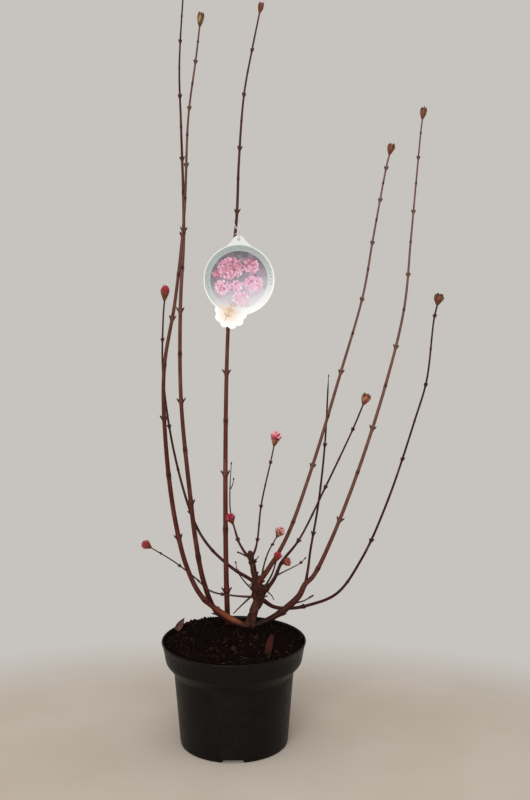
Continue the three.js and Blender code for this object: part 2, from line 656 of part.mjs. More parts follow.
// Tie: a closed loop of thread round the middle cane and through the label's hole
function labelTie() {
  const [x, y, z] = LABEL_CENTRE;
  const hole = z + LABEL_HOLE_HEIGHT;
  const back = y;
  const front = y - LABEL_THICKNESS;
  const held = centreLine(LIMBS.cane_middle.way).getSpacedPoints(400).find((point) => point.z >= TIE_TOP);
  const loop = new THREE.CatmullRomCurve3([
    [held.x, held.y + TIE_GRIP, held.z + 1],
    [held.x + TIE_GRIP, held.y, held.z],
    [x + 1.2, back + 4, hole + 11],
    [x, back + 1.6, hole + 4],
    [x, (back + front) / 2, hole - TIE_RADIUS],
    [x, front - 1.6, hole + 4],
    [x - 1.2, front, hole + 11],
    [held.x - TIE_GRIP, held.y, held.z],
  ].map(vector), true, 'centripetal');
  return meshOf('label_tie', solidOf(new THREE.TubeGeometry(loop, 36, TIE_RADIUS, 5, true)), TIE_THREAD);
}

const shrub = new THREE.Group();
shrub.add(pot(), soil(), dryLeaf(), ...plant(), label(), labelTie());

export default shrub;
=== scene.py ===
"""Potted bodnant viburnum in winter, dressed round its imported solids.

Lengths are millimetres until a piece is made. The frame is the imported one: +Z up, the viewer at -Y.
"""
import math

import bpy
import numpy as np
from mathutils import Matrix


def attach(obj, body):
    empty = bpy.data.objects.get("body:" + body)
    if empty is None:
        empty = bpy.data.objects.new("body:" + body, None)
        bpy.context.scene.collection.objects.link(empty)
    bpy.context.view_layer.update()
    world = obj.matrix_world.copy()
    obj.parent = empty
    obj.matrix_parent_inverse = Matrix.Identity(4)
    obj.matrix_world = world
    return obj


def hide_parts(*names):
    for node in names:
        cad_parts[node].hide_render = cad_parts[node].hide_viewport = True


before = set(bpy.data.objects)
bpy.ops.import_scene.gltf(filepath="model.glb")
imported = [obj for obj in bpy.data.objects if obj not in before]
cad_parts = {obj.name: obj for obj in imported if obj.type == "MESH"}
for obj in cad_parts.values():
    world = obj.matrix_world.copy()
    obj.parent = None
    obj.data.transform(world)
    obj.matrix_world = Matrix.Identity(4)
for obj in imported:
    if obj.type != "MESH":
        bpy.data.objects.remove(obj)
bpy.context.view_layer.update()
scene = bpy.context.scene
scene.view_settings.view_transform = "Standard"
rad = math.radians

camera = bpy.data.objects.new("camera", bpy.data.cameras.new("camera"))
scene.collection.objects.link(camera)
camera.location = (0.041, -1.516, 0.691)
camera.rotation_euler = (rad(81.3), 0, 0)
camera.data.lens = 54
camera.data.sensor_width = 36
scene.camera = camera


# Materials

def srgb(red, green, blue):
    """A colour given as it looks on a screen, 0 to 255, in Blender's linear numbers."""
    def linear(c):
        c /= 255
        return c / 12.92 if c <= 0.04045 else ((c + 0.055) / 1.055) ** 2.4
    return (linear(red), linear(green), linear(blue), 1)


class Finish:
    """A node material. Its patterns are in millimetres on the object, its colours as seen on a screen."""

    def __init__(self, name, roughness, **sockets):
        self.material = bpy.data.materials.new(name)
        self.material.use_nodes = True
        self.tree = self.material.node_tree
        self.shader = self.tree.nodes["Principled BSDF"]
        self.shader.inputs["Roughness"].default_value = roughness
        for socket, value in sockets.items():
            self.shader.inputs[socket.replace("_", " ")].default_value = value
        self.place = self.node("ShaderNodeTexCoord").outputs["Object"]

    def node(self, kind, links=None, **settings):
        made = self.tree.nodes.new(kind)
        for key, value in settings.items():
            setattr(made, key, value)
        for key, value in (links or {}).items():
            if isinstance(value, bpy.types.NodeSocket):
                self.tree.links.new(value, made.inputs[key])
            else:
                made.inputs[key].default_value = value
        return made

    def at(self, scale):
        """Places scaled alike, or along x, y and z: 1 is one cell of a pattern to a millimetre."""
        scale = scale if isinstance(scale, tuple) else (scale,) * 3
        stretched = tuple(1000 * s for s in scale)
        return self.node("ShaderNodeMapping", {"Vector": self.place, "Scale": stretched}).outputs[0]

    def noise(self, scale, detail, roughness):
        links = {"Vector": self.at(scale), "Scale": 1.0, "Detail": detail, "Roughness": roughness}
        return self.node("ShaderNodeTexNoise", links).outputs["Fac"]

    def cells(self, scale):
        links = {"Vector": self.at(scale), "Scale": 1.0}
        return self.node("ShaderNodeTexVoronoi", links).outputs["Distance"]

    def ramp(self, value, stops):
        made = self.node("ShaderNodeValToRGB", {"Fac": value})
        elements = made.color_ramp.elements
        while len(elements) < len(stops):
            elements.new(0.5)
        for element, (at, color) in zip(elements, stops):
            element.position = at
            element.color = srgb(*color)
        return made.outputs["Color"]

    def steps(self, value, low, high, bottom=0.0, top=1.0):
        links = {"Value": value, "From Min": low, "From Max": high, "To Min": bottom, "To Max": top}
        return self.node("ShaderNodeMapRange", links, clamp=True).outputs["Result"]

    def mix(self, share, first, second):
        """Two colours mixed by a share of the second. Each is a socket or a screen colour."""
        first, second = (srgb(*c) if isinstance(c, tuple) else c for c in (first, second))
        return self.node("ShaderNodeMix", {0: share, 6: first, 7: second}, data_type="RGBA").outputs[2]

    def math(self, operation, *values):
        return self.node("ShaderNodeMath", dict(enumerate(values)), operation=operation).outputs[0]

    def color(self, socket):
        self.tree.links.new(socket, self.shader.inputs["Base Color"])
        return self

    def rough(self, socket):
        self.tree.links.new(socket, self.shader.inputs["Roughness"])
        return self

    def bump(self, height, depth):
        links = {"Height": height, "Distance": depth / 1000, "Strength": 1.0}
        self.tree.links.new(self.node("ShaderNodeBump", links).outputs[0], self.shader.inputs["Normal"])
        return self


def mottled(name, grain, stops, relief, roughness, **sockets):
    """One base colour with a mottle that may fall anywhere. Its grain is a noise's three values."""
    made = Finish(name, roughness, **sockets)
    fleck = made.noise(*grain)
    made.color(made.ramp(fleck, stops))
    return (made.bump(fleck, relief) if relief else made).material


def palette(make, prefix, tints):
    """The materials of a joined piece, one for each mark on its faces."""
    return [make(prefix + name, *colors) for name, *colors in tints]


def cane_bark(name, stops):
    """Bark in streaks along the cane. Its colour changes with the height: stops are (mm, colour)."""
    made = Finish(name, 0.55, Specular_IOR_Level=0.12)
    height = made.node("ShaderNodeSeparateXYZ", {"Vector": made.place}).outputs["Z"]
    low, high = stops[0][0], stops[-1][0]
    share = made.steps(height, low / 1000, high / 1000)
    base = made.ramp(share, [((z - low) / (high - low), c) for z, c in stops])
    streaks = made.noise((0.9, 0.9, 0.05), 5, 0.6)
    patches = made.noise((0.1, 0.1, 0.03), 4, 0.6)
    spots = made.cells((0.8, 0.8, 0.35))
    color = made.mix(made.steps(streaks, 0.42, 0.68, 0, 0.6), base, (30, 10, 7))
    aged = made.math("MULTIPLY", made.steps(patches, 0.5, 0.72, 0, 0.3), made.steps(height, 0.15, 0.26))
    color = made.mix(aged, color, (130, 90, 76))
    made.color(made.mix(made.steps(spots, 0.12, 0.18, 0.34, 0), color, (142, 104, 84)))
    made.rough(made.steps(patches, 0.3, 0.7, 0.46, 0.64))
    return made.bump(made.math("ADD", streaks, made.steps(spots, 0.1, 0.25, 0.5, 0)), 0.16).material


def plain_bark(name, dark, color, light):
    return mottled(name, ((1.1, 1.1, 0.35), 5, 0.62), [(0.3, dark), (0.5, color), (0.72, light)], 0.14, 0.6,
                   Specular_IOR_Level=0.12)


def living(name, color, light, roughness=0.5, sheen=0.0):
    """Buds, scales and petals."""
    return mottled(name, (0.9, 3, 0.5), [(0.32, color), (0.7, light)], 0.12, roughness,
                   Sheen_Weight=sheen, Specular_IOR_Level=0.2)


# Shapes in millimetres

LATTICE = np.random.default_rng(3).random((32, 32, 32))


def value_noise(points):
    cell = np.floor(points).astype(int)
    part = points - cell
    part = part * part * (3 - 2 * part)
    total = np.zeros(len(points))
    for corner in np.ndindex(2, 2, 2):
        weight = np.prod(np.where(corner, part, 1 - part), axis=1)
        total += weight * LATTICE[tuple((cell + corner).T % 32)]
    return total * 2 - 1


def fractal(points, scale, octaves=4):
    total = np.zeros(len(points))
    for octave in range(octaves):
        total += value_noise(points * scale * 2.0 ** octave + 17.3 * octave) * 0.5 ** octave
    return total


def smooth(t):
    t = np.clip(t, 0, 1)
    return t * t * (3 - 2 * t)


def unit(v):
    v = np.asarray(v, float)
    return v / np.linalg.norm(v)


def bulge(off, middle, width):
    return np.exp(-((off - middle) / width) ** 2)


def full_turn(count):
    """The bearings of points spread evenly round a circle."""
    return np.arange(count) * 2 * math.pi / count


def hoop(turn, u, v):
    """Points round a circle of radius 1 in the plane of two directions."""
    return np.cos(turn)[:, None] * u + np.sin(turn)[:, None] * v


def tube(centre, radius, u, v):
    """Rings round a line of centres, with a radius for each corner."""
    angle = full_turn(radius.shape[1])
    return centre[:, None] + radius[..., None] * (
        np.cos(angle)[None, :, None] * u[:, None] + np.sin(angle)[None, :, None] * v[:, None])


class Shape:
    """Corners and faces gathered for one piece, with a material index for each face."""

    def __init__(self):
        self.corners, self.faces, self.marks, self.count = [], [], [], 0

    def add(self, corners, faces, mark):
        for group in faces:
            self.faces.extend((group + self.count).tolist())
            self.marks.extend([mark] * len(group))
        self.corners.append(corners)
        self.count += len(corners)

    def rings(self, rings, mark=0):
        """A closed skin over rings of corners, each ring anticlockwise as seen from the last ring."""
        rings = np.asarray(rings, float)
        rows, sides = rings.shape[:2]
        here = np.arange(sides)
        beyond = (here + 1) % sides
        row = np.arange(rows - 1)[:, None] * sides
        a, b = (row + here).ravel(), (row + beyond).ravel()
        last, foot = (rows - 1) * sides, rows * sides
        faces = [np.stack([a, b, b + sides, a + sides], 1),
                 np.stack([np.full(sides, foot), beyond, here], 1),
                 np.stack([np.full(sides, foot + 1), last + here, last + beyond], 1)]
        self.add(np.vstack([rings.reshape(-1, 3), rings[0].mean(0), rings[-1].mean(0)]), faces, mark)

    def skin(self, front, back, mark=0):
        """A closed thin sheet between two grids of corners: rows by columns, front facing out."""
        rows, columns = front.shape[:2]
        grid = np.arange(rows * columns).reshape(rows, columns)
        a, b = grid[:-1, :-1].ravel(), grid[:-1, 1:].ravel()
        c, d = grid[1:, 1:].ravel(), grid[1:, :-1].ravel()
        under = rows * columns
        edge = np.concatenate([grid[0], grid[1:, -1], grid[-1, :-1][::-1], grid[1:-1, 0][::-1]])
        after = np.roll(edge, -1)
        faces = [np.stack([a, b, c, d], 1), np.stack([a, d, c, b], 1) + under,
                 np.stack([after, edge, edge + under, after + under], 1)]
        self.add(np.vstack([front.reshape(-1, 3), back.reshape(-1, 3)]), faces, mark)

    def piece(self, name, slot, materials, *nodes, flat=False):
        mesh = bpy.data.meshes.new(name)
        mesh.from_pydata((np.vstack(self.corners) / 1000).tolist(), [], self.faces)
        mesh.polygons.foreach_set("material_index", self.marks)
        mesh.polygons.foreach_set("use_smooth", [not flat] * len(self.faces))
        for material in materials:
            mesh.materials.append(material)
        return placed(bpy.data.objects.new(name, mesh), slot, *nodes)


def placed(piece, slot, *nodes):
    scene.collection.objects.link(piece)
    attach(piece, "root")
    if nodes:
        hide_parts(*nodes)
    return piece


def vectors(items, name):
    """One row of three numbers for each vertex or face of a mesh."""
    flat = np.empty(len(items) * 3)
    items.foreach_get(name, flat)
    return flat.reshape(-1, 3)


def evaluated(item):
    """The mesh of an object with its modifiers or bevels worked out."""
    return bpy.data.meshes.new_from_object(item.evaluated_get(bpy.context.evaluated_depsgraph_get()))


def turned(profile, sides):
    """Rings of a profile of (radius, height) turned about the Z axis."""
    profile = np.asarray(profile, float)
    turn = full_turn(sides)
    flat = profile[:, None, :1] * np.stack([np.cos(turn), np.sin(turn)], 1)[None]
    return np.concatenate([flat, np.broadcast_to(profile[:, None, 1:], flat.shape[:2] + (1,))], 2)


def rounded(profile, radius, steps=5):
    """A profile with each inner corner replaced by a short curve."""
    profile = [np.array(p, float) for p in profile]
    points = [profile[0]]
    for before, corner, after in zip(profile, profile[1:], profile[2:]):
        reach = min(radius, np.linalg.norm(before - corner) * 0.45, np.linalg.norm(after - corner) * 0.45)
        start = corner + unit(before - corner) * reach
        end = corner + unit(after - corner) * reach
        for t in np.linspace(0, 1, steps):
            points.append((1 - t) ** 2 * start + 2 * t * (1 - t) * corner + t * t * end)
    return points + [profile[-1]]


# Limbs, by the rule that the solids grow by, with finer rings and relief

# Each limb: its way points, its girths at shares of its length, its nodes as (first, gap, growth, turn)
# counted from the tip, and its flower head as (kind, length, width)
LIMBS = {
    "old_stem": {
        "way": [(19, 52, 137), (26, 52, 161), (32, 52, 177), (31, 52, 193), (27, 51, 212), (23, 50, 232),
                (21, 50, 244)],
        "girth": [(0, 13.5), (0.2, 12), (0.34, 13), (0.45, 17.5), (0.58, 14), (0.7, 8.4), (0.85, 6.6),
                  (0.94, 7.6), (1, 6)],
        "lumps": [(0.38, 75, 8), (0.42, -35, 8.5), (0.47, 140, 9), (0.53, 15, 8.5), (0.57, 205, 8),
                  (0.95, 180, 4), (0.95, 20, 3.6)],
        "spurs": [
            {"way": [(33, 52, 184), (39, 50, 190), (44, 48, 198)],
             "girth": [(0, 10), (0.6, 8.5), (0.9, 9.5), (1, 6)]},
            {"way": [(22, 50, 237), (12, 46, 242), (4, 44, 246)], "girth": [(0, 2.6), (1, 1.4)]},
            {"way": [(25, 50, 229), (28, 52, 232), (32, 54, 237)], "girth": [(0, 2.8), (1, 1.6)]}]},
    "cane_tall_right": {
        "way": [(22, 52, 139), (38, 50, 146), (54, 48, 155), (70, 47, 167), (87, 45, 185), (95, 45, 201),
                (106, 46, 212), (130, 48, 262), (166, 56, 356), (202, 68, 470), (226, 80, 570),
                (235, 92, 664), (248, 112, 804), (250, 115, 819)],
        "girth": [(0, 6.6), (0.085, 9.4), (0.115, 8), (0.155, 6), (0.26, 5), (0.5, 4.2), (0.65, 3.4),
                  (0.8, 2.7), (1, 2)],
        "nodes": (20, 30.7, 0.077, 90), "head": ("closed", 16.5, 8.2)},
    "cane_outer_left": {
        "way": [(20, 51, 136), (-14, 45, 159), (-43, 40, 184), (-63, 36, 226), (-78, 30, 294),
                (-88, 18, 397), (-88, 6, 497), (-72, -4, 587), (-59, -14, 693), (-52, -24, 811),
                (-42, -30, 878), (-37, -33, 915)],
        "girth": [(0, 7.6), (0.15, 6.4), (0.3, 6), (0.45, 5), (0.6, 4.2), (0.75, 3.2), (0.87, 2.5), (1, 2)],
        "nodes": (18, 21, 0.117, 90), "head": ("closed", 17, 7.4)},
    "cane_middle": {
        "way": [(-10, 62, 136), (-12, 62, 226), (-12, 62, 370), (-9, 64, 516), (-3, 66, 621), (4, 69, 690),
                (7, 71, 760), (14, 75, 847), (25, 78, 906), (34, 81, 949)],
        "girth": [(0, 7.6), (0.12, 6.7), (0.3, 6), (0.45, 5.1), (0.6, 4.2), (0.75, 3.2), (0.88, 2.5),
                  (1, 2)],
        "nodes": (48, 23, 0.091, 0), "head": ("closed", 14, 6.8)},
    "cane_tall_left": {
        "way": [(5, 59, 136), (-15, 59, 150), (-28, 59, 162), (-43, 60, 202), (-53, 61, 258),
                (-60, 62, 321), (-71, 66, 449), (-71, 72, 571), (-66, 80, 673), (-69, 92, 808),
                (-71, 100, 883), (-66, 108, 970), (-61, 115, 1030)],
        "girth": [(0, 7.4), (0.15, 6.6), (0.35, 5.3), (0.55, 4.8), (0.7, 3.4), (0.85, 2.3), (1, 1.8)],
        "nodes": (24, 26.4, 0.069, 90), "head": ("closed", 15, 7.4)},
    "cane_slim_left": {
        "way": [(27, 52, 202), (16, 58, 207), (-2, 66, 216), (-34, 73, 244), (-55, 78, 278), (-83, 88, 375),
                (-97, 94, 480), (-96, 97, 555), (-94, 98, 580)],
        "girth": [(0, 5.4), (0.1, 4.2), (0.3, 3.5), (0.6, 3), (1, 2.2)],
        "nodes": (54, 58, 0.012, 0), "head": ("open", 20.5, 11.5)},
    "cane_inner_right": {
        "way": [(31, 51, 200), (46, 42, 224), (70, 30, 271), (101, 10, 366), (135, -20, 493),
                (161, -45, 596), (171, -60, 665), (184, -78, 749), (187, -81, 763)],
        "girth": [(0, 8), (0.1, 5.4), (0.3, 4.3), (0.5, 3.8), (0.65, 3), (0.8, 2.6), (1, 2)],
        "nodes": (17, 14.7, 0.17, 0), "head": ("closed", 13, 8)},
    "cane_slim_right": {
        "way": [(42, 48, 191), (54, 50, 208), (63, 54, 228), (87, 62, 258), (124, 82, 328), (162, 104, 404),
                (176, 112, 436)],
        "girth": [(0, 6), (0.12, 4.6), (0.3, 3), (0.6, 2.7), (1, 2.3)],
        "nodes": (38, 46, -0.037, 0), "head": ("closed", 16, 12),
        "spurs": [
            {"way": [(62, 53, 225), (65, 49, 228), (67, 46, 230)],
             "girth": [(0, 2.4), (1, 1.8)], "head": ("red", 12, 11)}]},
    "cane_upright_right": {
        "way": [(95, 45, 199), (99, 46, 223), (102, 46, 248), (112, 45, 311), (120, 42, 392),
                (124, 38, 484)],
        "girth": [(0, 4.4), (0.12, 3.3), (0.6, 2.7), (0.94, 2.1), (1, 0.7)],
        "nodes": (39, 49, 0.1, 90)},
    "cane_outer_right": {
        "way": [(31, 53, 182), (40, 56, 174), (53, 58, 165), (76, 58, 163), (100, 53, 169), (137, 38, 190),
                (169, 18, 245), (199, -10, 330), (228, -45, 443), (239, -59, 492), (244, -76, 568),
                (247, -81, 587)],
        "girth": [(0, 7), (0.06, 5), (0.14, 4.2), (0.3, 3.4), (0.5, 2.9), (0.8, 2.4), (1, 2)],
        "nodes": (15, 41, 0.093, 0), "head": ("closed", 13.5, 11)},
    "twig_left": {
        "way": [(26, 51, 181), (-1, 51, 183), (-32, 49, 190), (-54, 47, 210), (-81, 40, 234),
                (-111, 31, 256)],
        "girth": [(0, 3.6), (0.15, 2.6), (0.5, 2.1), (1, 1.5)],
        "nodes": (17, 30, 0.1, 90), "head": ("open", 14, 11.5)},
    "twig_fork_left": {
        "way": [(21, 50, 235), (13, 44, 247), (5, 38, 264), (0, 31, 284), (-2, 29, 290)],
        "girth": [(0, 4.4), (0.4, 3.2), (1, 2.2)],
        "nodes": (28, 40, 0, 0), "head": ("pink", 15.5, 11.5),
        "spurs": [
            {"way": [(5, 37, 266), (-1, 43, 284), (-5, 48, 298), (-6, 51, 327), (-4, 54, 364)],
             "girth": [(0, 2.4), (0.6, 1.8), (1, 1)]},
            {"way": [(-5, 51, 331), (-2, 50, 338), (-1, 49, 344)], "girth": [(0, 1.6), (1, 0.9)]}]},
    "twig_fork_right": {
        "way": [(23, 49, 236), (28, 46, 249), (31, 43, 264), (36, 34, 313), (49, 20, 377), (53, 15, 398)],
        "girth": [(0, 4), (0.15, 2.6), (0.5, 2.3), (1, 1.8)],
        "nodes": (26, 38, -0.13, 0), "head": ("pink", 20, 12.5)},
    "twig_front": {
        "way": [(36, 49, 205), (39, 41, 226), (45, 30, 249), (53, 18, 268), (57, 14, 276)],
        "girth": [(0, 3.4), (0.3, 2.2), (1, 1.7)],
        "nodes": (17, 29, 0, 0), "head": ("pink", 16, 11.5)},
    "twig_red": {
        "way": [(38, 50, 191), (43, 42, 202), (51, 34, 220), (56, 28, 239)],
        "girth": [(0, 4), (0.4, 2.6), (1, 2)],
        "head": ("red", 14, 10)},
    "twig_bare_left": {
        "way": [(28, 50, 189), (16, 44, 202), (4, 40, 221), (2, 39, 232)],
        "girth": [(0, 3), (0.4, 2), (1, 1.1)],
        "nodes": (12, 30, 0, 0)},
    "twig_bare_right": {
        "way": [(56, 51, 211), (63, 47, 216), (75, 41, 224), (88, 36, 233), (94, 33, 240)],
        "girth": [(0, 2.6), (0.3, 1.8), (1, 1.1)],
        "nodes": (9, 30, 0, 0)},
    "twig_low": {
        "way": [(26, 53, 185), (8, 58, 166), (-2, 60, 155)],
        "girth": [(0, 3.2), (0.5, 2.3), (1, 1.5)]},
    "stub_low": {
        "way": [(40, 47, 193), (50, 39, 187), (53, 36, 182)],
        "girth": [(0, 2.2), (1, 1.2)]},
    "stub_dead": {
        "way": [(83, 45, 175), (93, 38, 180), (104, 31, 189)],
        "girth": [(0, 2.4), (0.75, 1.8), (0.88, 3), (1, 1.6)]},
}

# How near the foot a node may lie, and how far its swelling goes, as a share of the limb's girth
NODE_CLEAR_FOOT = 28
NODE_REACH = 1.1
# The extra rings at a node: how far they go to each side, and the step between them
NODE_SPAN, NODE_STEP = 5.4, 0.6
# The least distance between two rings, and from the last one to the tip
RING_CLEAR, RING_CLEAR_TIP = 0.25, 0.3
GOLDEN_ANGLE = 137.508
# The flower head's outline as (radius, height), in shares of its width and length
HEAD_SHAPE = [(0.17, 0), (0.22, 0.14), (0.38, 0.38), (0.5, 0.66), (0.4, 0.88), (0.0, 1.0)]
# Profiles of a bare twig's end bud and of a floret, as (place along it, share of its radius)
END_BUD_RINGS = ((-0.5, 0.6), (0.0, 1.0), (0.7, 1.15), (1.5, 1.05), (2.3, 0.75), (3.0, 0.35), (3.3, 0.08))
FLORET_RINGS = ((0, 0.4), (0.35, 0.46), (0.5, 0.62), (0.64, 0.96), (0.77, 1.0), (0.88, 0.76), (0.96, 0.38),
                (1.0, 0.1))
# The dome of florets, in shares of the head's length and width
DOME_RISE, DOME_REACH = 0.38, 0.54
# The old stem's broken spikes: all of them, and those on its knob
SPIKES, KNOB_SPIKES = 30, 21


class Curve:
    """The smooth curve through a limb's way points."""

    def __init__(self, way):
        p = np.array(way, float)
        p = np.vstack([2 * p[0] - p[1], p, 2 * p[-1] - p[-2]])
        points, slopes = [], []
        for a, b, c, d in zip(p[:-3], p[1:-2], p[2:-1], p[3:]):
            da, db, dc = (math.sqrt(np.linalg.norm(q)) for q in (b - a, c - b, d - c))
            m = ((b - a) / da - (c - a) / (da + db) + (c - b) / db) * db
            n = ((c - b) / db - (d - b) / (db + dc) + (d - c) / dc) * db
            t = np.linspace(0, 1, 81)[:, None]
            points.append(b + m * t + (3 * (c - b) - 2 * m - n) * t ** 2 + (2 * (b - c) + m + n) * t ** 3)
            slopes.append(m + 2 * (3 * (c - b) - 2 * m - n) * t + 3 * (2 * (b - c) + m + n) * t ** 2)
        self.points = np.vstack([q[:-1] for q in points] + [points[-1][-1:]])
        slopes = np.vstack([q[:-1] for q in slopes] + [slopes[-1][-1:]])
        self.slopes = slopes / np.linalg.norm(slopes, axis=1)[:, None]
        steps = np.linalg.norm(np.diff(self.points, axis=0), axis=1)
        self.run = np.concatenate([[0], np.cumsum(steps)])
        self.length = self.run[-1]

    def _read(self, table, s):
        return np.stack([np.interp(s, self.run, table[:, k]) for k in range(3)], -1)

    def at(self, s):
        return self._read(self.points, s)

    def tangent(self, s):
        slope = self._read(self.slopes, s)
        return slope / np.linalg.norm(slope, axis=-1, keepdims=True)


def sideways(tangent, bearing):
    """Two directions square to the limb, the first as near as can be to a level bearing."""
    tangent = np.asarray(tangent, float)
    side = np.array([math.cos(bearing), math.sin(bearing), 0.0])
    side = side - tangent * (tangent @ side)[..., None]
    side = side / np.linalg.norm(side, axis=-1, keepdims=True)
    return side, np.cross(tangent, side)


def node_places(limb, length):
    """Nodes counted down from the tip, where the gaps between them grow towards the foot."""
    places = []
    if "nodes" in limb:
        first, gap, growth, turn = limb["nodes"]
        s = length - first
        while s > min(NODE_CLEAR_FOOT, length / 3):
            places.append((s, turn))
            s -= gap + growth * (length - s)
            turn += 90
    return places


def girth_at(limb, share):
    shares, girths = zip(*limb["girth"])
    return np.interp(share, shares, girths)


def wood(shape, limb, sides, step, relief, mark=0, seed=0, flare=0.35):
    """A limb's wood: rings close together at the nodes, wrinkles along it and a collar at its foot."""
    curve = Curve(limb["way"])
    length = curve.length
    nodes = node_places(limb, length)
    places = [np.arange(0, length, step)]
    places += [np.arange(s - NODE_SPAN, s + NODE_SPAN + 0.1, NODE_STEP) for s, _ in nodes]
    places = np.unique(np.round(np.concatenate(places), 2))
    places = places[(places >= 0) & (places < length - RING_CLEAR_TIP)]
    places = np.append(places[np.concatenate([[True], np.diff(places) > RING_CLEAR])], length)
    plain = girth_at(limb, places / length) / 2
    centre, tangent = curve.at(places), curve.tangent(places)
    u, v = sideways(tangent, math.pi / 2)
    angle = full_turn(sides)
    radius = np.repeat(plain[:, None], sides, 1)
    radius *= 1 + flare * bulge(places[:, None], 0, plain[0] * 1.3)
    for s, turn in nodes:
        half = float(girth_at(limb, s / length)) / 2
        side, _ = sideways(curve.tangent(s), rad(turn))
        row = sideways(curve.tangent(s), math.pi / 2)
        facing = math.atan2(side @ row[1], side @ row[0])
        off = places - s
        swell = smooth(1 - np.abs(off) / (NODE_REACH * 2 * half + 1))
        shoulder, scar, ring = bulge(off, -0.9, 1.7), bulge(off, -2.3, 0.5), bulge(off, 0.6, 0.45)
        pair = np.cos(angle - facing) ** 2
        radius += half * 0.16 * swell[:, None]
        radius += (0.24 * half + 0.22) * shoulder[:, None] * pair[None] ** 1.5
        radius -= 0.12 * scar[:, None] - 0.1 * ring[:, None]
    waves = np.zeros_like(radius)
    rng = np.random.default_rng(seed + 11)
    for k in (2, 3, 5, 7):
        drift = np.cumsum(rng.normal(0, 0.05, len(places)))
        waves += np.cos(k * angle[None] + rng.uniform(0, 6.3) + drift[:, None]) / k
    rings = tube(centre, radius + relief * waves, u, v)
    if "head" not in limb:
        end = centre[-1] + tangent[-1] * plain[-1] * 0.5
        rim = rings[-1] - centre[-1]
        cap = [(end + rim * 0.7)[None], (end + tangent[-1] * plain[-1] * 0.3 + rim * 0.3)[None]]
        rings = np.concatenate([rings] + cap)
    shape.rings(rings, mark)
    for k, spur in enumerate(limb.get("spurs", [])):
        wood(shape, spur, 10, 0.8, relief, mark, seed + 31 * (k + 1))


def bud(shape, foot, tangent, side, radius, mark, rng):
    """A pointed bud in two scales: stout and standing off on old wood, small and pressed to young wood."""
    age = float(np.clip((radius - 1.1) / 1.5, 0, 1))
    length = (4.0 + 1.5 * age) * rng.uniform(0.82, 1.1)
    out = 0.3 + 0.42 * age + rng.uniform(-0.06, 0.08)
    start = foot + side * (radius * 0.72) - tangent * 0.7
    bend = start + side * length * out * 0.75 + tangent * length * 0.42
    tip = start + side * length * out + tangent * length * 0.95
    across = np.cross(tangent, side)
    width = 1.2 + 0.25 * age
    turn = full_turn(10)
    for part, (high, grow) in enumerate(((0.72, 1.1), (1.0, 1.0))):
        rings = []
        for t in np.linspace(0, high, 9):
            centre = (1 - t) ** 2 * start + 2 * t * (1 - t) * bend + t * t * tip
            along = unit(2 * (1 - t) * (bend - start) + 2 * t * (tip - bend))
            fall = math.sin(math.pi * (0.24 + 0.74 * t)) ** 0.8
            girth = grow * width * (fall * (1 if part else max(0.3, 1 - (t / 0.74) ** 4)) + 0.05)
            rings.append(centre + girth * (np.cos(turn)[:, None] * across
                                           + 0.8 * np.sin(turn)[:, None] * np.cross(along, across)))
        shape.rings(rings, mark)


def end_bud(shape, tip, axis, radius):
    """The pointed bud that closes a bare twig."""
    ring = hoop(full_turn(10), *sideways(axis, 0.7))
    shape.rings([tip + axis * h + ring * (radius + 0.45) * g for h, g in END_BUD_RINGS])


def profile_at(width, h):
    """The flower head's radius at a share of its length."""
    radii, heights = zip(*HEAD_SHAPE)
    return width * np.interp(h, heights, radii)


def head_scale(shape, tip, axis, size, turn, span, breadth, lift, flare, cap, mark):
    """One scale that hugs the head from one share of its length to another, with a keel and a pointed tip."""
    length, width = size
    u, v = sideways(axis, math.pi / 2)
    t = np.linspace(0, 1, 11)[:, None]
    across = np.linspace(-1, 1, 7)[None, :]
    h = span[0] + (span[1] - span[0]) * t
    radius = profile_at(width, np.minimum(h, cap)) * np.clip(1.1 - 1.6 * np.maximum(h - cap, 0), 0, 2)
    half = breadth * (np.sin(math.pi * (0.14 + 0.86 * t) ** 0.9) ** 0.75 + 0.03)
    bearing = turn + across * half / np.maximum(radius, width * 0.16)
    skins = []
    for depth in (0.0, 0.26):
        out = radius + lift * smooth(4 * t) + flare * t ** 2.2
        out = out - 0.16 * across ** 2 * half - depth * (1 - 0.7 * t)
        out = out + (0.14 * bulge(across, 0, 0.22) if depth == 0 else 0)
        ring = (np.cos(bearing)[..., None] * u + np.sin(bearing)[..., None] * v) * out[..., None]
        skins.append(tip + axis * (h * length)[..., None] + ring)
    shape.skin(*skins, mark)


def floret(shape, foot, axis, length, radius, mark, rng):
    """A flower bud: a slim bent tube that swells into five furled, pointed petals."""
    u, v = sideways(axis, rng.uniform(0, 6.3))
    turn = full_turn(15)
    sag = rng.uniform(-0.12, 0.12) * length
    rings = []
    for h, r in FLORET_RINGS:
        lobes = 1 + 0.12 * np.cos(5 * turn + 3 * h) * (h > 0.45)
        rings.append(foot + axis * (length * h) + u * sag * h * h
                     + (radius * r * lobes)[:, None] * hoop(turn, u, v))
    shape.rings(rings, mark)


END_BUDS = ("cane_upright_right", "twig_bare", "twig_fork_left_spur", "stub_dead")
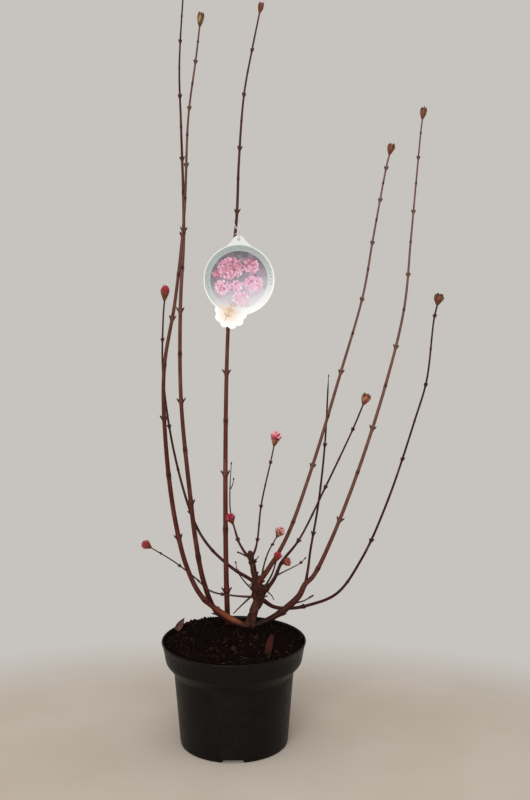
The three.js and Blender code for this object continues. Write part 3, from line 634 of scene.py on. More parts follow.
# Flower heads: the tints of their scales from the foot up, and of their florets
HEAD_TINTS = {
    "cane_tall_right": ((2, 0, 0), ()), "cane_outer_left": ((1, 5, 1), ()), "cane_middle": ((2, 2, 0), ()),
    "cane_tall_left": ((2, 0, 2), ()), "cane_slim_left": ((1, 2, 3), (2, 2, 3)),
    "cane_inner_right": ((2, 0, 0), ()), "cane_slim_right": ((1, 4, 3), ()),
    "cane_outer_right": ((1, 2, 0), ()), "twig_left": ((2, 3, 2), (2, 2, 3, 4)),
    "twig_fork_left": ((2, 2, 3), (0, 2, 2, 3)), "twig_fork_right": ((2, 4, 3), (0, 1, 1, 0, 2)),
    "twig_front": ((1, 4, 5), (4, 5, 1, 3, 5)), "twig_red": ((2, 3, 3), (2, 2, 3)),
    "cane_slim_right_spur": ((1, 1, 2), (3, 3, 4)),
}
# For each kind: scale layers as (count, from, to, breadth, flare), florets, how far round they go, their
# girth, and how high the core goes
HEAD_KINDS = {
    "closed": ([(4, 0.0, 0.5, 0.34, 0.1), (5, 0.1, 0.8, 0.32, 0.3), (6, 0.3, 1.0, 0.24, 0.5),
                (5, 0.5, 1.04, 0.17, 0.3)], 0, 0, 0, 0.88),
    "open": ([(4, 0.0, 0.46, 0.34, 0.1), (5, 0.1, 0.64, 0.32, 0.3), (5, 0.3, 0.72, 0.22, 0.5)],
             36, 98, 0.08, 0.68),
    "red": ([(3, 0.0, 0.46, 0.4, 0.1), (4, 0.1, 0.62, 0.34, 0.4), (4, 0.28, 0.78, 0.22, 0.8)],
            22, 92, 0.1, 0.66),
    "pink": ([(4, 0.0, 0.44, 0.34, 0.1), (5, 0.1, 0.6, 0.3, 0.5), (4, 0.2, 0.68, 0.2, 1.0)],
             46, 106, 0.058, 0.58),
}


def flower_head(shapes, head, tip, axis, tints, seed):
    """Overlapping pointed scales round a core, and a loose dome of florets on the opening kinds."""
    rng = np.random.default_rng(seed)
    kind, length, width = head
    layers, count, fan, girth, top = HEAD_KINDS[kind]
    scale_tints, floret_tints = tints
    u, v = sideways(axis, math.pi / 2)
    around = hoop(full_turn(16), u, v)
    shapes["core"].rings([tip + axis * (h * length) + profile_at(width, max(h, 0)) * 0.86 * around
                          for h in np.linspace(-0.06, top, 11)])
    for layer, (scales, low, high, breadth, flare) in enumerate(layers):
        for k in range(scales):
            bearing = (k + 0.5 * layer + rng.uniform(-0.16, 0.16)) * 2 * math.pi / scales
            span = (low + rng.uniform(0, 0.05), high * rng.uniform(0.9, 1.03))
            tint = scale_tints[min(2, layer)] if rng.random() < 0.7 else scale_tints[int(rng.integers(3))]
            head_scale(shapes["scales"], tip, axis, (length, width), bearing, span,
                       width * breadth * rng.uniform(0.85, 1.1), 0.1 * (len(layers) - layer),
                       flare * rng.uniform(0.2, 1.2), rng.uniform(0.78, 0.93), tint)
    middle = tip + axis * length * 0.64
    for k in range(count):
        polar = math.acos(1 - (k + 0.5) / count * (1 - math.cos(rad(fan)))) * rng.uniform(0.94, 1.06)
        bearing = rad(k * GOLDEN_ANGLE) + rng.uniform(-0.2, 0.2)
        side = math.cos(bearing) * u + math.sin(bearing) * v
        size = rng.uniform(0.88, 1.05)
        rise, reach = DOME_RISE * length * size * math.cos(polar), DOME_REACH * width * size * math.sin(polar)
        end = middle + axis * rise + side * reach
        foot = tip + axis * length * 0.4 + side * width * 0.12 * math.sin(polar)
        floret(shapes["florets"], foot, unit(end - foot), float(np.linalg.norm(end - foot)),
               width * girth * rng.uniform(0.8, 1.15), int(rng.choice(floret_tints)), rng)


def trimmings(shapes, limb, name, seed):
    """A limb's buds and its flower head, and those of its spurs."""
    rng = np.random.default_rng(seed)
    curve = Curve(limb["way"])
    for s, turn in node_places(limb, curve.length):
        point, tangent = curve.at(s), curve.tangent(s)
        side, _ = sideways(tangent, rad(turn))
        radius = float(girth_at(limb, s / curve.length)) / 2
        for sign in (1, -1):
            mark = 0 if radius > 1.7 or rng.random() < 0.4 else 1
            bud(shapes["buds"], point, tangent, side * sign, radius, mark, rng)
    tip, axis = curve.at(curve.length), curve.tangent(curve.length)
    if "head" in limb:
        flower_head(shapes, limb["head"], tip, axis, HEAD_TINTS[name], seed + 5)
    elif name.startswith(END_BUDS):
        end_bud(shapes["buds"], tip, axis, float(girth_at(limb, 1)) / 2)
    for k, spur in enumerate(limb.get("spurs", [])):
        trimmings(shapes, spur, name + "_spur", seed + 100 * (k + 1))


# Bark tones as (mm, colour) from the foot up. Where a ramp darkens at its foot by the soil, that darkening is
# partly dirt and partly painted shade.
DEEP = [(160, (52, 17, 9)), (330, (50, 16, 8)), (600, (50, 23, 14))]
RED = [(144, (44, 18, 12)), (175, (74, 27, 18)), (330, (88, 40, 31)), (560, (84, 46, 38)),
       (760, (62, 31, 24))]
BROWN = [(144, (38, 15, 10)), (180, (66, 24, 16)), (330, (74, 32, 24)), (520, (92, 54, 45)),
         (660, (96, 62, 54)), (770, (56, 27, 20)), (1000, (48, 22, 16))]
GREY = [(146, (30, 13, 9)), (166, (56, 24, 17)), (205, (80, 36, 27)), (330, (102, 63, 54)),
        (560, (107, 74, 66)), (820, (109, 82, 73))]
ORANGE_FOOT = [(143, (58, 30, 20)), (152, (138, 76, 47)), (174, (76, 31, 21)), (420, (72, 29, 22)),
               (650, (92, 56, 46)), (900, (92, 64, 52))]
CANES = {
    "cane_tall_right": GREY, "cane_outer_left": ORANGE_FOOT, "cane_middle": RED, "cane_tall_left": BROWN,
    "cane_slim_left": DEEP, "cane_inner_right": GREY, "cane_slim_right": DEEP, "cane_upright_right": DEEP,
    "cane_outer_right": DEEP,
}
TWIG_TINTS = [("brown", (34, 16, 12), (62, 36, 28), (100, 70, 58)),
              ("red", (34, 14, 10), (58, 26, 20), (88, 52, 42))]
BUD_TINTS = [("dark", (32, 14, 10), (58, 30, 22)), ("red", (52, 24, 18), (82, 46, 36))]
SCALE_TINTS = [
    ("brown", (86, 52, 36), (120, 80, 58)), ("olive", (70, 44, 22), (100, 70, 38)),
    ("red", (84, 36, 21), (114, 58, 38)), ("rose", (112, 34, 32), (140, 58, 50)),
    ("tan", (130, 84, 60), (158, 112, 84)), ("straw", (128, 100, 68), (158, 132, 96)),
]
FLORET_TINTS = [
    ("pink", (202, 66, 104), (224, 104, 136), 0.45, 0.1),
    ("blush", (232, 158, 168), (242, 190, 194), 0.45, 0.1),
    ("crimson", (146, 22, 48), (176, 46, 68), 0.45, 0.1), ("red", (128, 32, 32), (156, 54, 48), 0.45, 0.1),
    ("russet", (136, 70, 48), (164, 94, 68), 0.5, 0.1), ("buff", (176, 116, 90), (200, 144, 116), 0.5, 0.1),
]


def plant():
    shapes = {key: Shape() for key in ("buds", "scales", "florets", "core", "twigs")}
    for index, (name, limb) in enumerate(LIMBS.items()):
        trimmings(shapes, limb, name, 1000 * (index + 1))
        if name in CANES:
            cane = Shape()
            wood(cane, limb, 16, 2.4, 0.05, 0, index)
            cane.piece(name + "_bark", "cane_bark", [cane_bark(name + "_bark", CANES[name])], name)
        elif name != "old_stem":
            wood(shapes["twigs"], limb, 12, 1.2, 0.05, 0 if index % 3 else 1, index)
    twig_nodes = [name for name in LIMBS if name.startswith(("twig", "stub"))]
    shapes["twigs"].piece("twig_bark", "twigs", palette(plain_bark, "twig_bark_", TWIG_TINTS), *twig_nodes)
    shapes["buds"].piece("side_buds", "twigs", palette(living, "bud_", BUD_TINTS))
    shapes["core"].piece("head_cores", "twigs", [living("head_core", (62, 34, 22), (92, 58, 36))])
    shapes["scales"].piece("head_scales", "twigs", palette(living, "scale_", SCALE_TINTS))
    shapes["florets"].piece("florets", "twigs", palette(living, "floret_", FLORET_TINTS))


def ball(centre, radius, rows=10, sides=18):
    """Rings of a ball from its foot to its top."""
    turns = np.linspace(-math.pi / 2, math.pi / 2, rows + 2)[1:-1]
    rings = turned([(radius * math.cos(a), radius * math.sin(a)) for a in turns], sides)
    return rings + np.asarray(centre, float)


def old_stem():
    """The gnarled stem: wood, lumps and broken spikes melted into one skin that takes the bark's relief."""
    limb = LIMBS["old_stem"]
    shape = Shape()
    wood(shape, limb, 24, 1.2, 0.25, 0, 5, 0.16)
    curve = Curve(limb["way"])

    def station(share):
        s = share * curve.length
        return curve.at(s), curve.tangent(s), float(girth_at(limb, share)), sideways(curve.tangent(s), 0.0)

    for share, bearing, size in limb["lumps"]:
        centre, _, girth, (side, across) = station(share)
        way = math.cos(rad(bearing)) * side + math.sin(rad(bearing)) * across
        shape.rings(ball(centre + girth / 2 * 0.62 * way, size / 2))
    rng = np.random.default_rng(9)
    for k in range(SPIKES):
        knob = k < KNOB_SPIKES
        share = rng.uniform(0.34, 0.64) if knob else rng.uniform(0.66, 0.97)
        centre, tangent, girth, (side, across) = station(share)
        bearing = rad(k * GOLDEN_ANGLE)
        way = unit(math.cos(bearing) * side + math.sin(bearing) * across + tangent * rng.uniform(-0.3, 0.8))
        root = centre + way * girth * 0.3
        reach = girth * 0.22 + (rng.uniform(2.6, 6.4) if knob else rng.uniform(1.6, 3.8))
        spike = {"way": [root, root + way * reach * 0.6 + rng.normal(0, 0.3, 3), root + way * reach],
                 "girth": [[0, rng.uniform(3.4, 5)], [0.6, rng.uniform(2.4, 3.2)], [1, 1.7]]}
        wood(shape, spike, 9, 0.6, 0.1, 0, k, 0.1)
    piece = shape.piece("old_stem_bark", "old_bark", [old_bark()], "old_stem")
    modifier = piece.modifiers.new("melt", "REMESH")
    modifier.mode = "VOXEL"
    modifier.voxel_size = 0.0005
    piece.modifiers.new("smooth", "SMOOTH").iterations = 2
    apply_modifiers(piece)
    mesh = piece.data
    points = vectors(mesh.vertices, "co") * 1000
    ridges = 1 - 2 * np.abs(fractal(points * (1, 1, 0.3), 0.34, 4))
    lift = 0.6 * np.clip(ridges, -1.2, 1) + 0.7 * fractal(points, 0.13, 4)
    points += vectors(mesh.vertices, "normal") * (lift - 0.1)[:, None]
    mesh.vertices.foreach_set("co", (points / 1000).ravel())
    mesh.polygons.foreach_set("use_smooth", [True] * len(mesh.polygons))
    mesh.update()


def apply_modifiers(piece):
    made = evaluated(piece)
    piece.modifiers.clear()
    piece.data = made


def old_bark():
    made = Finish("old_bark", 0.86, Specular_IOR_Level=0.15)
    grain = made.noise((0.5, 0.5, 0.13), 6, 0.68)
    patches = made.noise((0.09, 0.09, 0.05), 4, 0.6)
    color = made.ramp(grain, [(0.32, (20, 8, 6)), (0.5, (48, 23, 17)), (0.7, (82, 46, 36))])
    made.color(made.mix(made.steps(patches, 0.5, 0.7, 0, 0.5), color, (90, 58, 44)))
    return made.bump(made.math("ADD", grain, made.noise((1.4, 1.4, 0.6), 4, 0.6)), 0.5).material


# Pot and soil

# The pot's wall thickness and inner floor, its outline as (radius, height), and a drain's outline with its
# reach from the axis
WALL, BASE = 1.6, 8
FOOT, WALL_TOP, BAND_FOOT, BAND_TOP = (71.4, 0), (79.0, 99.2), (89.6, 112.8), (93.7, 136)
LIP = [(94.5, 137.0), (94.95, 138.2), (95.0, 139.2), (94.6, 139.85), (94.0, 140.0), (93.2, 139.7),
       (92.5, 138.6), (92.1, 136.4)]
DRAIN = [(-15.5, -3), (15.5, -3), (14.4, 1.2), (12.8, 3.6), (11, 4.5), (-11, 4.5), (-12.8, 3.6), (-14.4, 1.2)]
DRAIN_ENDS = (-47.4, -79)
# The soil's height at its edge, its radius and its height inside, then where the crown and the heap lie
SOIL_EDGE, SOIL_RADIUS, GROUND = 135, 91.4, 138.7
CROWN, CROWN_FLAT, MOUND, HEAP = (12, 52), 36, 76, (-46, 66)
# How much litter lies on the ground, and its tints
CRUMBS, RIM_CRUMBS, BACK_CRUMBS, CHIPS, STRANDS, STRAND_STEPS = 2600, 38, 30, 80, 520, 6
DARK_PEAT = ((4, 1, 1), (24, 12, 10))
PEAT_TINTS = [("dark", *DARK_PEAT), ("brown", (20, 9, 7), (40, 22, 17)), ("bark", (38, 20, 16), (60, 37, 29)),
              ("pale", (66, 50, 38), (104, 82, 62)), ("red", (42, 19, 14), (64, 33, 25))]


def black_plastic():
    made = Finish("black_plastic", 0.38, Specular_IOR_Level=0.14)
    wear = made.noise((0.03, 0.03, 0.05), 5, 0.6)
    dust = made.noise((0.22, 0.22, 0.09), 6, 0.7)
    color = made.ramp(wear, [(0.35, (6, 3, 3)), (0.7, (13, 8, 8))])
    made.color(made.mix(made.steps(dust, 0.56, 0.8, 0, 0.2), color, (58, 42, 35)))
    made.rough(made.steps(dust, 0.35, 0.75, 0.34, 0.6))
    scuffs = made.noise((0.06, 0.06, 0.9), 3, 0.6)
    return made.bump(made.math("ADD", scuffs, made.noise(0.7, 3, 0.5)), 0.05).material


def drawn(first, last, step=7.0):
    """A straight stretch of a profile, in short steps."""
    first, last = np.array(first, float), np.array(last, float)
    count = max(1, int(np.linalg.norm(last - first) / step))
    return [tuple(first + (last - first) * k / count) for k in range(1, count + 1)]


def inward(point):
    return (point[0] - WALL, point[1])


def pot():
    """The shell, turned with a rolled lip and a raised line under its shoulder, then cut by the drains."""
    outer = rounded([(66, 0), FOOT, WALL_TOP, BAND_FOOT, BAND_TOP], 2.4, 6)
    inner = rounded([LIP[-1], inward(BAND_FOOT), inward(WALL_TOP), (FOOT[0] + 0.6 - WALL, BASE), (30, BASE)],
                    2, 5)
    profile = [(30, 0), (50, 0)]
    for point in outer + LIP + inner[1:]:
        profile += drawn(profile[-1], point)
    shape = Shape()
    shape.rings(turned(profile, 180))
    piece = shape.piece("pot_shell", "black_plastic", [black_plastic()], "pot")
    cutter = Shape()
    for quarter in range(4):
        c, s = math.cos(quarter * math.pi / 2), math.sin(quarter * math.pi / 2)
        cutter.rings([[(x * c - y * s, x * s + y * c, z) for x, z in DRAIN] for y in DRAIN_ENDS])
    tool = cutter.piece("drain_cut", "black_plastic", [])
    cut = piece.modifiers.new("drain", "BOOLEAN")
    cut.operation = "DIFFERENCE"
    cut.object = tool
    cut.solver = "EXACT"
    apply_modifiers(piece)
    piece.data.set_sharp_from_angle(angle=rad(32))
    bpy.data.objects.remove(tool)


def soil_height(x, y):
    """The ground: a low crown round the stems, and a heap pushed up against the rim at the back left."""
    mound = smooth((MOUND - np.hypot(x - CROWN[0], y - CROWN[1])) / (MOUND - CROWN_FLAT))
    heap = smooth((40 - np.hypot(x - HEAP[0], y - HEAP[1])) / 22)
    inside = np.clip((SOIL_RADIUS - np.hypot(x, y)) / (22 - 16 * heap), 0, 1)
    waves = np.sin(x * 0.21 + y * 0.13) + np.sin(x * 0.09 - y * 0.24 + 2)
    level = SOIL_EDGE + (GROUND - SOIL_EDGE) * smooth(inside) * (0.35 + 0.65 * mound)
    return level + 1.1 * waves * (1 - mound) * inside + 4.4 * heap * smooth(inside)


def peat(name, dark, light):
    return mottled(name, (0.5, 6, 0.7), [(0.35, dark), (0.7, light)], 0.6, 0.95, Specular_IOR_Level=0.05)


def crumb(shape, centre, size, squash, mark, rng):
    """An uneven lump, with fewer faces where it is small."""
    rings = ball((0, 0, 0), 1.0, 6, 12) if size > 1.3 else ball((0, 0, 0), 1.0, 4, 8)
    points = rings.reshape(-1, 3)
    points = points * (1 + 0.35 * fractal(points + rng.uniform(0, 30, 3), 1.1, 2))[:, None]
    turn = np.linalg.qr(rng.normal(size=(3, 3)))[0]
    if np.linalg.det(turn) < 0:
        turn[:, 0] *= -1
    points = (points * squash * size) @ turn.T + centre
    shape.rings(points.reshape(rings.shape), mark)


def strand(shape, start, way, length, radius, mark, rng):
    """A short bent fibre."""
    points = [np.array(start, float)]
    way = unit(way)
    for _ in range(STRAND_STEPS):
        way = unit(way + rng.normal(0, 0.16, 3))
        points.append(points[-1] + way * length / STRAND_STEPS)
    curve = Curve(points)
    s = np.linspace(0, curve.length, STRAND_STEPS * 2)
    girth = radius * (0.4 + 0.6 * np.sin(np.linspace(0.25, 3, len(s))))
    shape.rings(tube(curve.at(s), np.repeat(girth[:, None], 5, 1), *sideways(curve.tangent(s), 0.3)), mark)


def litter_place(rng, reach):
    """A place on the ground, as far out as a share of its radius: radius, bearing, x and y."""
    r, a = SOIL_RADIUS * math.sqrt(rng.random()) * reach, rng.uniform(0, 2 * math.pi)
    return r, a, r * math.cos(a), r * math.sin(a)


def pick(rng, *marks):
    return int(rng.choice(marks))


def soil():
    """The bed with its clumps and holes, then crumbs, chips of bark and fibres strewn on it."""
    rng = np.random.default_rng(21)
    shape = Shape()
    radii = np.concatenate([np.linspace(0.6, SOIL_RADIUS - 0.6, 130), [SOIL_RADIUS]])
    rings = turned([(r, 0) for r in radii], 340)
    flat = rings.reshape(-1, 3)
    flat[:, 2] = ground(flat[:, 0], flat[:, 1])
    wall = turned([(SOIL_RADIUS, SOIL_EDGE - 3), (87.4, 112.8), (76.9, 99.2), (69.6, BASE + 0.4)], 340)
    shape.rings(np.concatenate([flat.reshape(rings.shape), wall])[::-1])
    shape.piece("peat_bed", "peat", [peat("peat_dark", *DARK_PEAT)], "soil")
    litter = Shape()
    for _ in range(CRUMBS):
        r, _, x, y = litter_place(rng, 0.985)
        if fractal(np.array([[x, y, 60.0]]), 0.05, 2)[0] < rng.uniform(-0.5, 0.15) or by_leaf(x, y):
            continue
        size = float(np.clip(rng.lognormal(-0.05, 0.5), 0.45, 3.6))
        squash = np.array([1, rng.uniform(0.5, 1), rng.uniform(0.3, 0.9)])
        crumb(litter, (x, y, level_at(x, y) + 0.25 * size), min(size, (93 - r) * 0.6 + 0.8), squash,
              pick(rng, *[0] * 7, *[1] * 3, 2), rng)
    for k in range(RIM_CRUMBS):
        a = rad(rng.uniform(98, 141) if k < BACK_CRUMBS else rng.uniform(-6, 14))
        r = rng.uniform(86, 90.5)
        crumb(litter, (r * math.cos(a), r * math.sin(a), rng.uniform(139.4, 142.2)), rng.uniform(0.9, 2.4),
              np.array([1, 0.8, 0.7]), pick(rng, 0, 0, 1), rng)
    litter.piece("peat_crumbs", "peat", palette(peat, "crumb_", PEAT_TINTS))
    litter = Shape()
    flake(litter)
    for _ in range(CHIPS):
        _, _, x, y = litter_place(rng, 0.94)
        if not by_leaf(x, y):
            chip(litter, (x, y, level_at(x, y) + rng.uniform(0.6, 1.6)), rng.uniform(2.2, 6.5),
                 pick(rng, 1, 1, 2, 2, 4), rng)
    for _ in range(STRANDS):
        _, a, x, y = litter_place(rng, 0.9)
        if not by_leaf(x, y):
            way = (math.cos(a * 7), math.sin(a * 5), rng.uniform(-0.1, 0.3))
            strand(litter, (x, y, level_at(x, y) + rng.uniform(0.2, 1.2)), way, rng.uniform(3, 12),
                   rng.uniform(0.12, 0.26), pick(rng, 0, 0, 1, 1, 1, 2, 2, 3), rng)
    litter.piece("peat_fibres", "peat", palette(peat, "fibre_", PEAT_TINTS))


def by_leaf(x, y):
    """Whether a place is at the dry leaf's foot, where the litter would stand through it."""
    return -90 < x < -60 and 32 < y < 56


def flake(shape):
    """A curled flake of old bark that stands half buried at the front right."""
    foot, tip = np.array([44, -40, 134.0]), np.array([50, -26, 156.0])
    across, out = sideways(unit(tip - foot), rad(-8))
    t = np.linspace(0, 1, 17)[:, None]
    u = np.linspace(-1, 1, 9)[None, :]
    half = 4.8 * np.sin(math.pi * (0.22 + 0.72 * t)) ** 0.7 * (1 + 0.09 * np.sin(t * 31 + 3 * u))
    rises = [-(half * 0.45 * (1 - u * u) + 0.3 * np.sin(t * 9 + u * 4) + lift) for lift in (0.35, -0.35)]
    sheet(shape, foot + t[..., None] * (tip - foot), half * u, across, rises, out, 4)


def ground(x, y):
    """The bed's own height: the ground with ridged clumps, finer lumps and a calm edge at the rim."""
    points = np.column_stack([x, y, np.zeros(len(x))])
    clumps = 1 - 2 * np.abs(fractal(points, 0.055, 3))
    lumps = np.abs(fractal(points, 0.19, 4))
    edge = smooth((SOIL_RADIUS - np.hypot(x, y)) / 5)
    return soil_height(x, y) + (1.6 * np.clip(clumps, -1.6, 1) + 3.0 * lumps - 1.4) * edge


def level_at(x, y):
    return float(ground(np.array([x]), np.array([y]))[0])


def sheet(shape, line, spread, across, rises, out, mark):
    """A thin sheet: its middle line, how far each corner lies across, and how far out its two skins lie."""
    shape.skin(*[line + spread[..., None] * across + rise[..., None] * out for rise in rises], mark)


def chip(shape, centre, length, mark, rng):
    """A flat splinter of bark with a bent, ragged outline."""
    along = unit(rng.normal(size=3) * (1, 1, 0.35))
    across = unit(np.cross(along, unit(rng.normal(size=3) * (0.4, 0.4, 1))))
    out = np.cross(along, across)
    t = np.linspace(-1, 1, 7)[:, None]
    w = np.linspace(-1, 1, 4)[None, :]
    half = length * rng.uniform(0.12, 0.26) * np.sqrt(np.clip(1.06 - t * t, 0.04, 1))
    half = half * (1 + rng.uniform(-0.25, 0.25, (7, 1)))
    bend = rng.uniform(-0.16, 0.16) * length
    line = np.asarray(centre) + (t * length / 2)[..., None] * along
    rises = [bend * t * t - 0.2 * half * w * w + depth for depth in (-0.22, 0.22)]
    sheet(shape, line, half * w, across, rises, out, mark)


def dry_leaf():
    """A curled dead leaf with a raised midrib, stood on the soil by the rim."""
    foot, tip = np.array([-79, 42, 137.0]), np.array([-68, 45, 154.0])
    across, out = sideways(unit(tip - foot), rad(20))
    t = np.linspace(0, 1, 25)[:, None]
    u = np.linspace(-1, 1, 15)[None, :]
    half = 4.9 * np.maximum(0.07, np.sin(math.pi * (0.24 + 0.76 * t))) * (1 + 0.05 * np.sin(t * 40 + 2 * u))
    veins = 0.16 * np.cos(14 * (t - 0.25 * np.abs(u)) * math.pi) * np.abs(u) + 0.3 * bulge(u, 0, 0.12)
    rises = [half * 0.9 * (1 - u * u) + lift - veins * 0.8 for lift in (-0.2, 0.2)]
    shape = Shape()
    sheet(shape, foot + t[..., None] * (tip - foot), half * u, across, rises, out, 0)
    tones = [(0.3, (44, 20, 15)), (0.5, (76, 38, 30)), (0.72, (108, 66, 52))]
    made = mottled("dry_leaf", (0.35, 5, 0.6), tones, 0.3, 0.75, Sheen_Weight=0.1)
    shape.piece("dead_leaf", "dry_leaf", [made], "dry_leaf")


# Hang label and its tie

LABEL = np.array([7, 59, 609.0])
LABEL_RADIUS, LABEL_THICKNESS = 46.5, 0.9
TAB_RADIUS, TAB_TOP, NECK = 9, 57.5, 32
HOLE_HEIGHT, HOLE_RADIUS = 52.5, 2.2
PICTURE_RADIUS = 37.5
SCALLOPED_TAB, SCALLOPS = (-11, -43), 6
RING_LEAVES, RING_RADIUS = 34, 41.7
# How high on the cane the tie holds, and how far from the cane's middle
TIE_HEIGHT, TIE_GRIP = 684, 3.2
PRINT_GLOSS = {"Specular_IOR_Level": 0.3, "Coat_Weight": 0.1, "Coat_Roughness": 0.12}
# Blossom clusters as (x, z, size) about the label's centre, and the printed stem
CLUSTERS = [(-11, 15, 16), (16, 18, 10), (19, -5, 12), (-22, -10, 10), (-3, -8, 8), (2, -24, 10), (-28, 8, 6)]
PRINTED_STEM = [(-19.5, -54.5), (-16, -48), (-12.5, -41), (-9.5, -34.5)]
# The last and palest ink paints blossoms washed out by the painted glare.
BLOSSOM_INKS = [
    ("wine", (134, 58, 82), (152, 76, 98)), ("rose", (166, 98, 124), (182, 118, 142)),
    ("pink", (190, 136, 160), (202, 154, 175)), ("lilac", (194, 154, 174), (204, 170, 186)),
    ("pale", (200, 176, 190), (208, 188, 199)), ("painted_glare", (206, 196, 203), (212, 204, 210)),
]
TRIM_INKS = [
    ("sage", (104, 120, 113), (116, 132, 125)), ("moss", (92, 108, 100), (104, 120, 112)),
    ("beige", (184, 154, 124), (196, 168, 140)), ("brown", (122, 98, 74), (136, 110, 84)),
]


def label_outline():
    """The union of the round card, its neck and tab and the scallops, as one loop of points."""
    x, z = SCALLOPED_TAB
    tab = TAB_TOP - TAB_RADIUS
    discs = [(0, 0, LABEL_RADIUS), (0, tab, TAB_RADIUS), (x, z, 14)]
    for k in range(SCALLOPS):
        turn = rad(165 + (350 - 165) * k / (SCALLOPS - 1))
        discs.append((x + 15 * math.cos(turn), z + 15 * math.sin(turn), 6.5))
    half, low = NECK / 2, math.sqrt(LABEL_RADIUS ** 2 - (NECK / 2) ** 2)
    top_half, high = TAB_RADIUS * math.cos(0.3), tab + TAB_RADIUS * math.sin(0.3)

    def inside_neck(p):
        reach = half + (top_half - half) * np.clip((p[:, 1] - low) / (high - low), 0, 1)
        return (np.abs(p[:, 0]) < reach - 1e-3) & (p[:, 1] > 30) & (p[:, 1] < high)

    runs = []
    for index, (cx, cz, r) in enumerate(discs):
        count = max(48, int(r * 2 * math.pi / 0.7))
        points = circle(cx, cz, r, count)
        free = ~inside_neck(points)
        for other, (ox, oz, q) in enumerate(discs):
            if other != index:
                free &= np.hypot(points[:, 0] - ox, points[:, 1] - oz) > q
        if free.all() or not free.any():
            continue
        start = next(i for i in range(count) if free[i] and not free[i - 1])
        run = []
        for at in (np.arange(count) + start) % count:
            if free[at]:
                run.append(points[at])
            elif run:
                runs.append(run)
                run = []
    loop = runs.pop(0)
    while runs:
        gaps = [np.linalg.norm(run[0] - loop[-1]) for run in runs]
        loop = loop + runs.pop(int(np.argmin(gaps)))
    return np.array(loop)


def flat_card(name, loops, front, thickness, bevel, material, nodes=()):
    """A card in the XZ plane from a loop and its holes, with softened edges; front is its front's Y."""
    curve = bpy.data.curves.new(name, "CURVE")
    curve.dimensions = "2D"
    curve.fill_mode = "BOTH"
    curve.extrude = (thickness / 2 - bevel) / 1000
    curve.bevel_depth = bevel / 1000
    curve.bevel_resolution = 2
    curve.offset = -bevel / 1000
    for loop in loops:
        spline = curve.splines.new("POLY")
        spline.points.add(len(loop) - 1)
        flat = np.zeros((len(loop), 4))
        flat[:, :2] = loop / 1000
        spline.points.foreach_set("co", flat.ravel())
        spline.use_cyclic_u = True
    holder = bpy.data.objects.new(name + "_curve", curve)
    scene.collection.objects.link(holder)
    mesh = evaluated(holder)
    bpy.data.objects.remove(holder)
    x, y, z = vectors(mesh.vertices, "co").T
    middle = (front + thickness / 2) / 1000
    upright = np.stack([x + LABEL[0] / 1000, middle - z, y + LABEL[2] / 1000], 1)
    mesh.vertices.foreach_set("co", upright.ravel())
    mesh.materials.clear()
    mesh.materials.append(material)
    mesh.update()
    return placed(bpy.data.objects.new(name, mesh), "label_card", *nodes)


def circle(x, z, radius, count=96):
    turn = full_turn(count)
    return np.stack([x + radius * np.cos(turn), z + radius * np.sin(turn)], 1)


def label_offsets(made, right, down):
    """How far right and up of the label's centre a place is, in metres, and its sum along a slant."""
    away = made.node("ShaderNodeVectorMath", {0: made.place, 1: tuple(LABEL / 1000)}, operation="SUBTRACT")
    off = made.node("ShaderNodeSeparateXYZ", {"Vector": away.outputs[0]}).outputs
    x, z = off["X"], off["Z"]
    return x, z, made.math("SUBTRACT", made.math("MULTIPLY", x, right), made.math("MULTIPLY", z, down))


def card_print():
    """The card's front: a soft grey-green ring that fades to white and a white card that lightens, both
    towards the bottom right as a painted glare, and a beige glow on the scalloped tab.
    """
    made = Finish("label_card", 0.36, Specular_IOR_Level=0.3, Coat_Weight=0.1, Coat_Roughness=0.15)
    x, z, slant = label_offsets(made, 0.42, 0.9)

    def distance(px, pz):
        squares = [made.math("MULTIPLY", d, d) for d in (made.math("SUBTRACT", x, px / 1000),
                                                         made.math("SUBTRACT", z, pz / 1000))]
        return made.math("SQRT", made.math("ADD", *squares))

    # Painted glare: the ring's tone and the white card both lighten along the slant towards the bottom right.
    tone = made.ramp(made.steps(slant, -0.046, 0.046), [
        (0.0, (120, 130, 127)), (0.35, (136, 145, 142)), (0.6, (164, 170, 169)), (0.82, (200, 203, 203)),
        (1.0, (220, 222, 222))])
    white = made.mix(made.steps(slant, -0.04, 0.03), (190, 194, 192), (226, 226, 224))
    radius = distance(0, 0)
    ring = made.math("MULTIPLY", made.steps(radius, 0.0374, 0.0376), made.steps(radius, 0.0449, 0.0452, 1, 0))
    color = made.mix(ring, white, tone)
    color = made.mix(made.steps(distance(-13, -42), 0.004, 0.017, 0.8, 0), color, (200, 168, 136))
    fleck = made.noise(0.2, 4, 0.5)
    made.color(made.mix(made.steps(fleck, 0.4, 0.7, 0, 0.1), color, (206, 208, 206)))
    made.rough(made.steps(fleck, 0.3, 0.7, 0.28, 0.4))
    return made.bump(fleck, 0.03).material


def card_plain():
    return mottled("label_back", (0.3, 4, 0.5), [(0.3, (222, 222, 218)), (0.7, (234, 234, 231))], 0.03, 0.45)


def picture_ground():
    """The picture's blurred ground: dusky mauve that clears to white at the bottom right, where a glare is
    painted on the print.
    """
    made = Finish("label_picture", 0.36, **PRINT_GLOSS)
    slant = label_offsets(made, 0.3, 0.95)[2]
    # Painted glare: the sweep clears from the print's mauve to white along the slant towards the bottom
    # right.
    sweep = made.ramp(made.steps(slant, -0.037, 0.037), [
        (0.0, (54, 48, 56)), (0.3, (80, 73, 83)), (0.52, (126, 120, 131)), (0.74, (170, 166, 174)),
        (1.0, (202, 200, 204))])
    blur = made.noise(0.07, 3, 0.6)
    color = made.mix(made.steps(blur, 0.5, 0.68, 0, 0.55), sweep, (164, 132, 152))
    made.color(made.mix(made.steps(made.noise(0.11, 3, 0.5), 0.55, 0.75, 0, 0.45), color, (64, 60, 66)))
    return made.bump(blur, 0.02).material


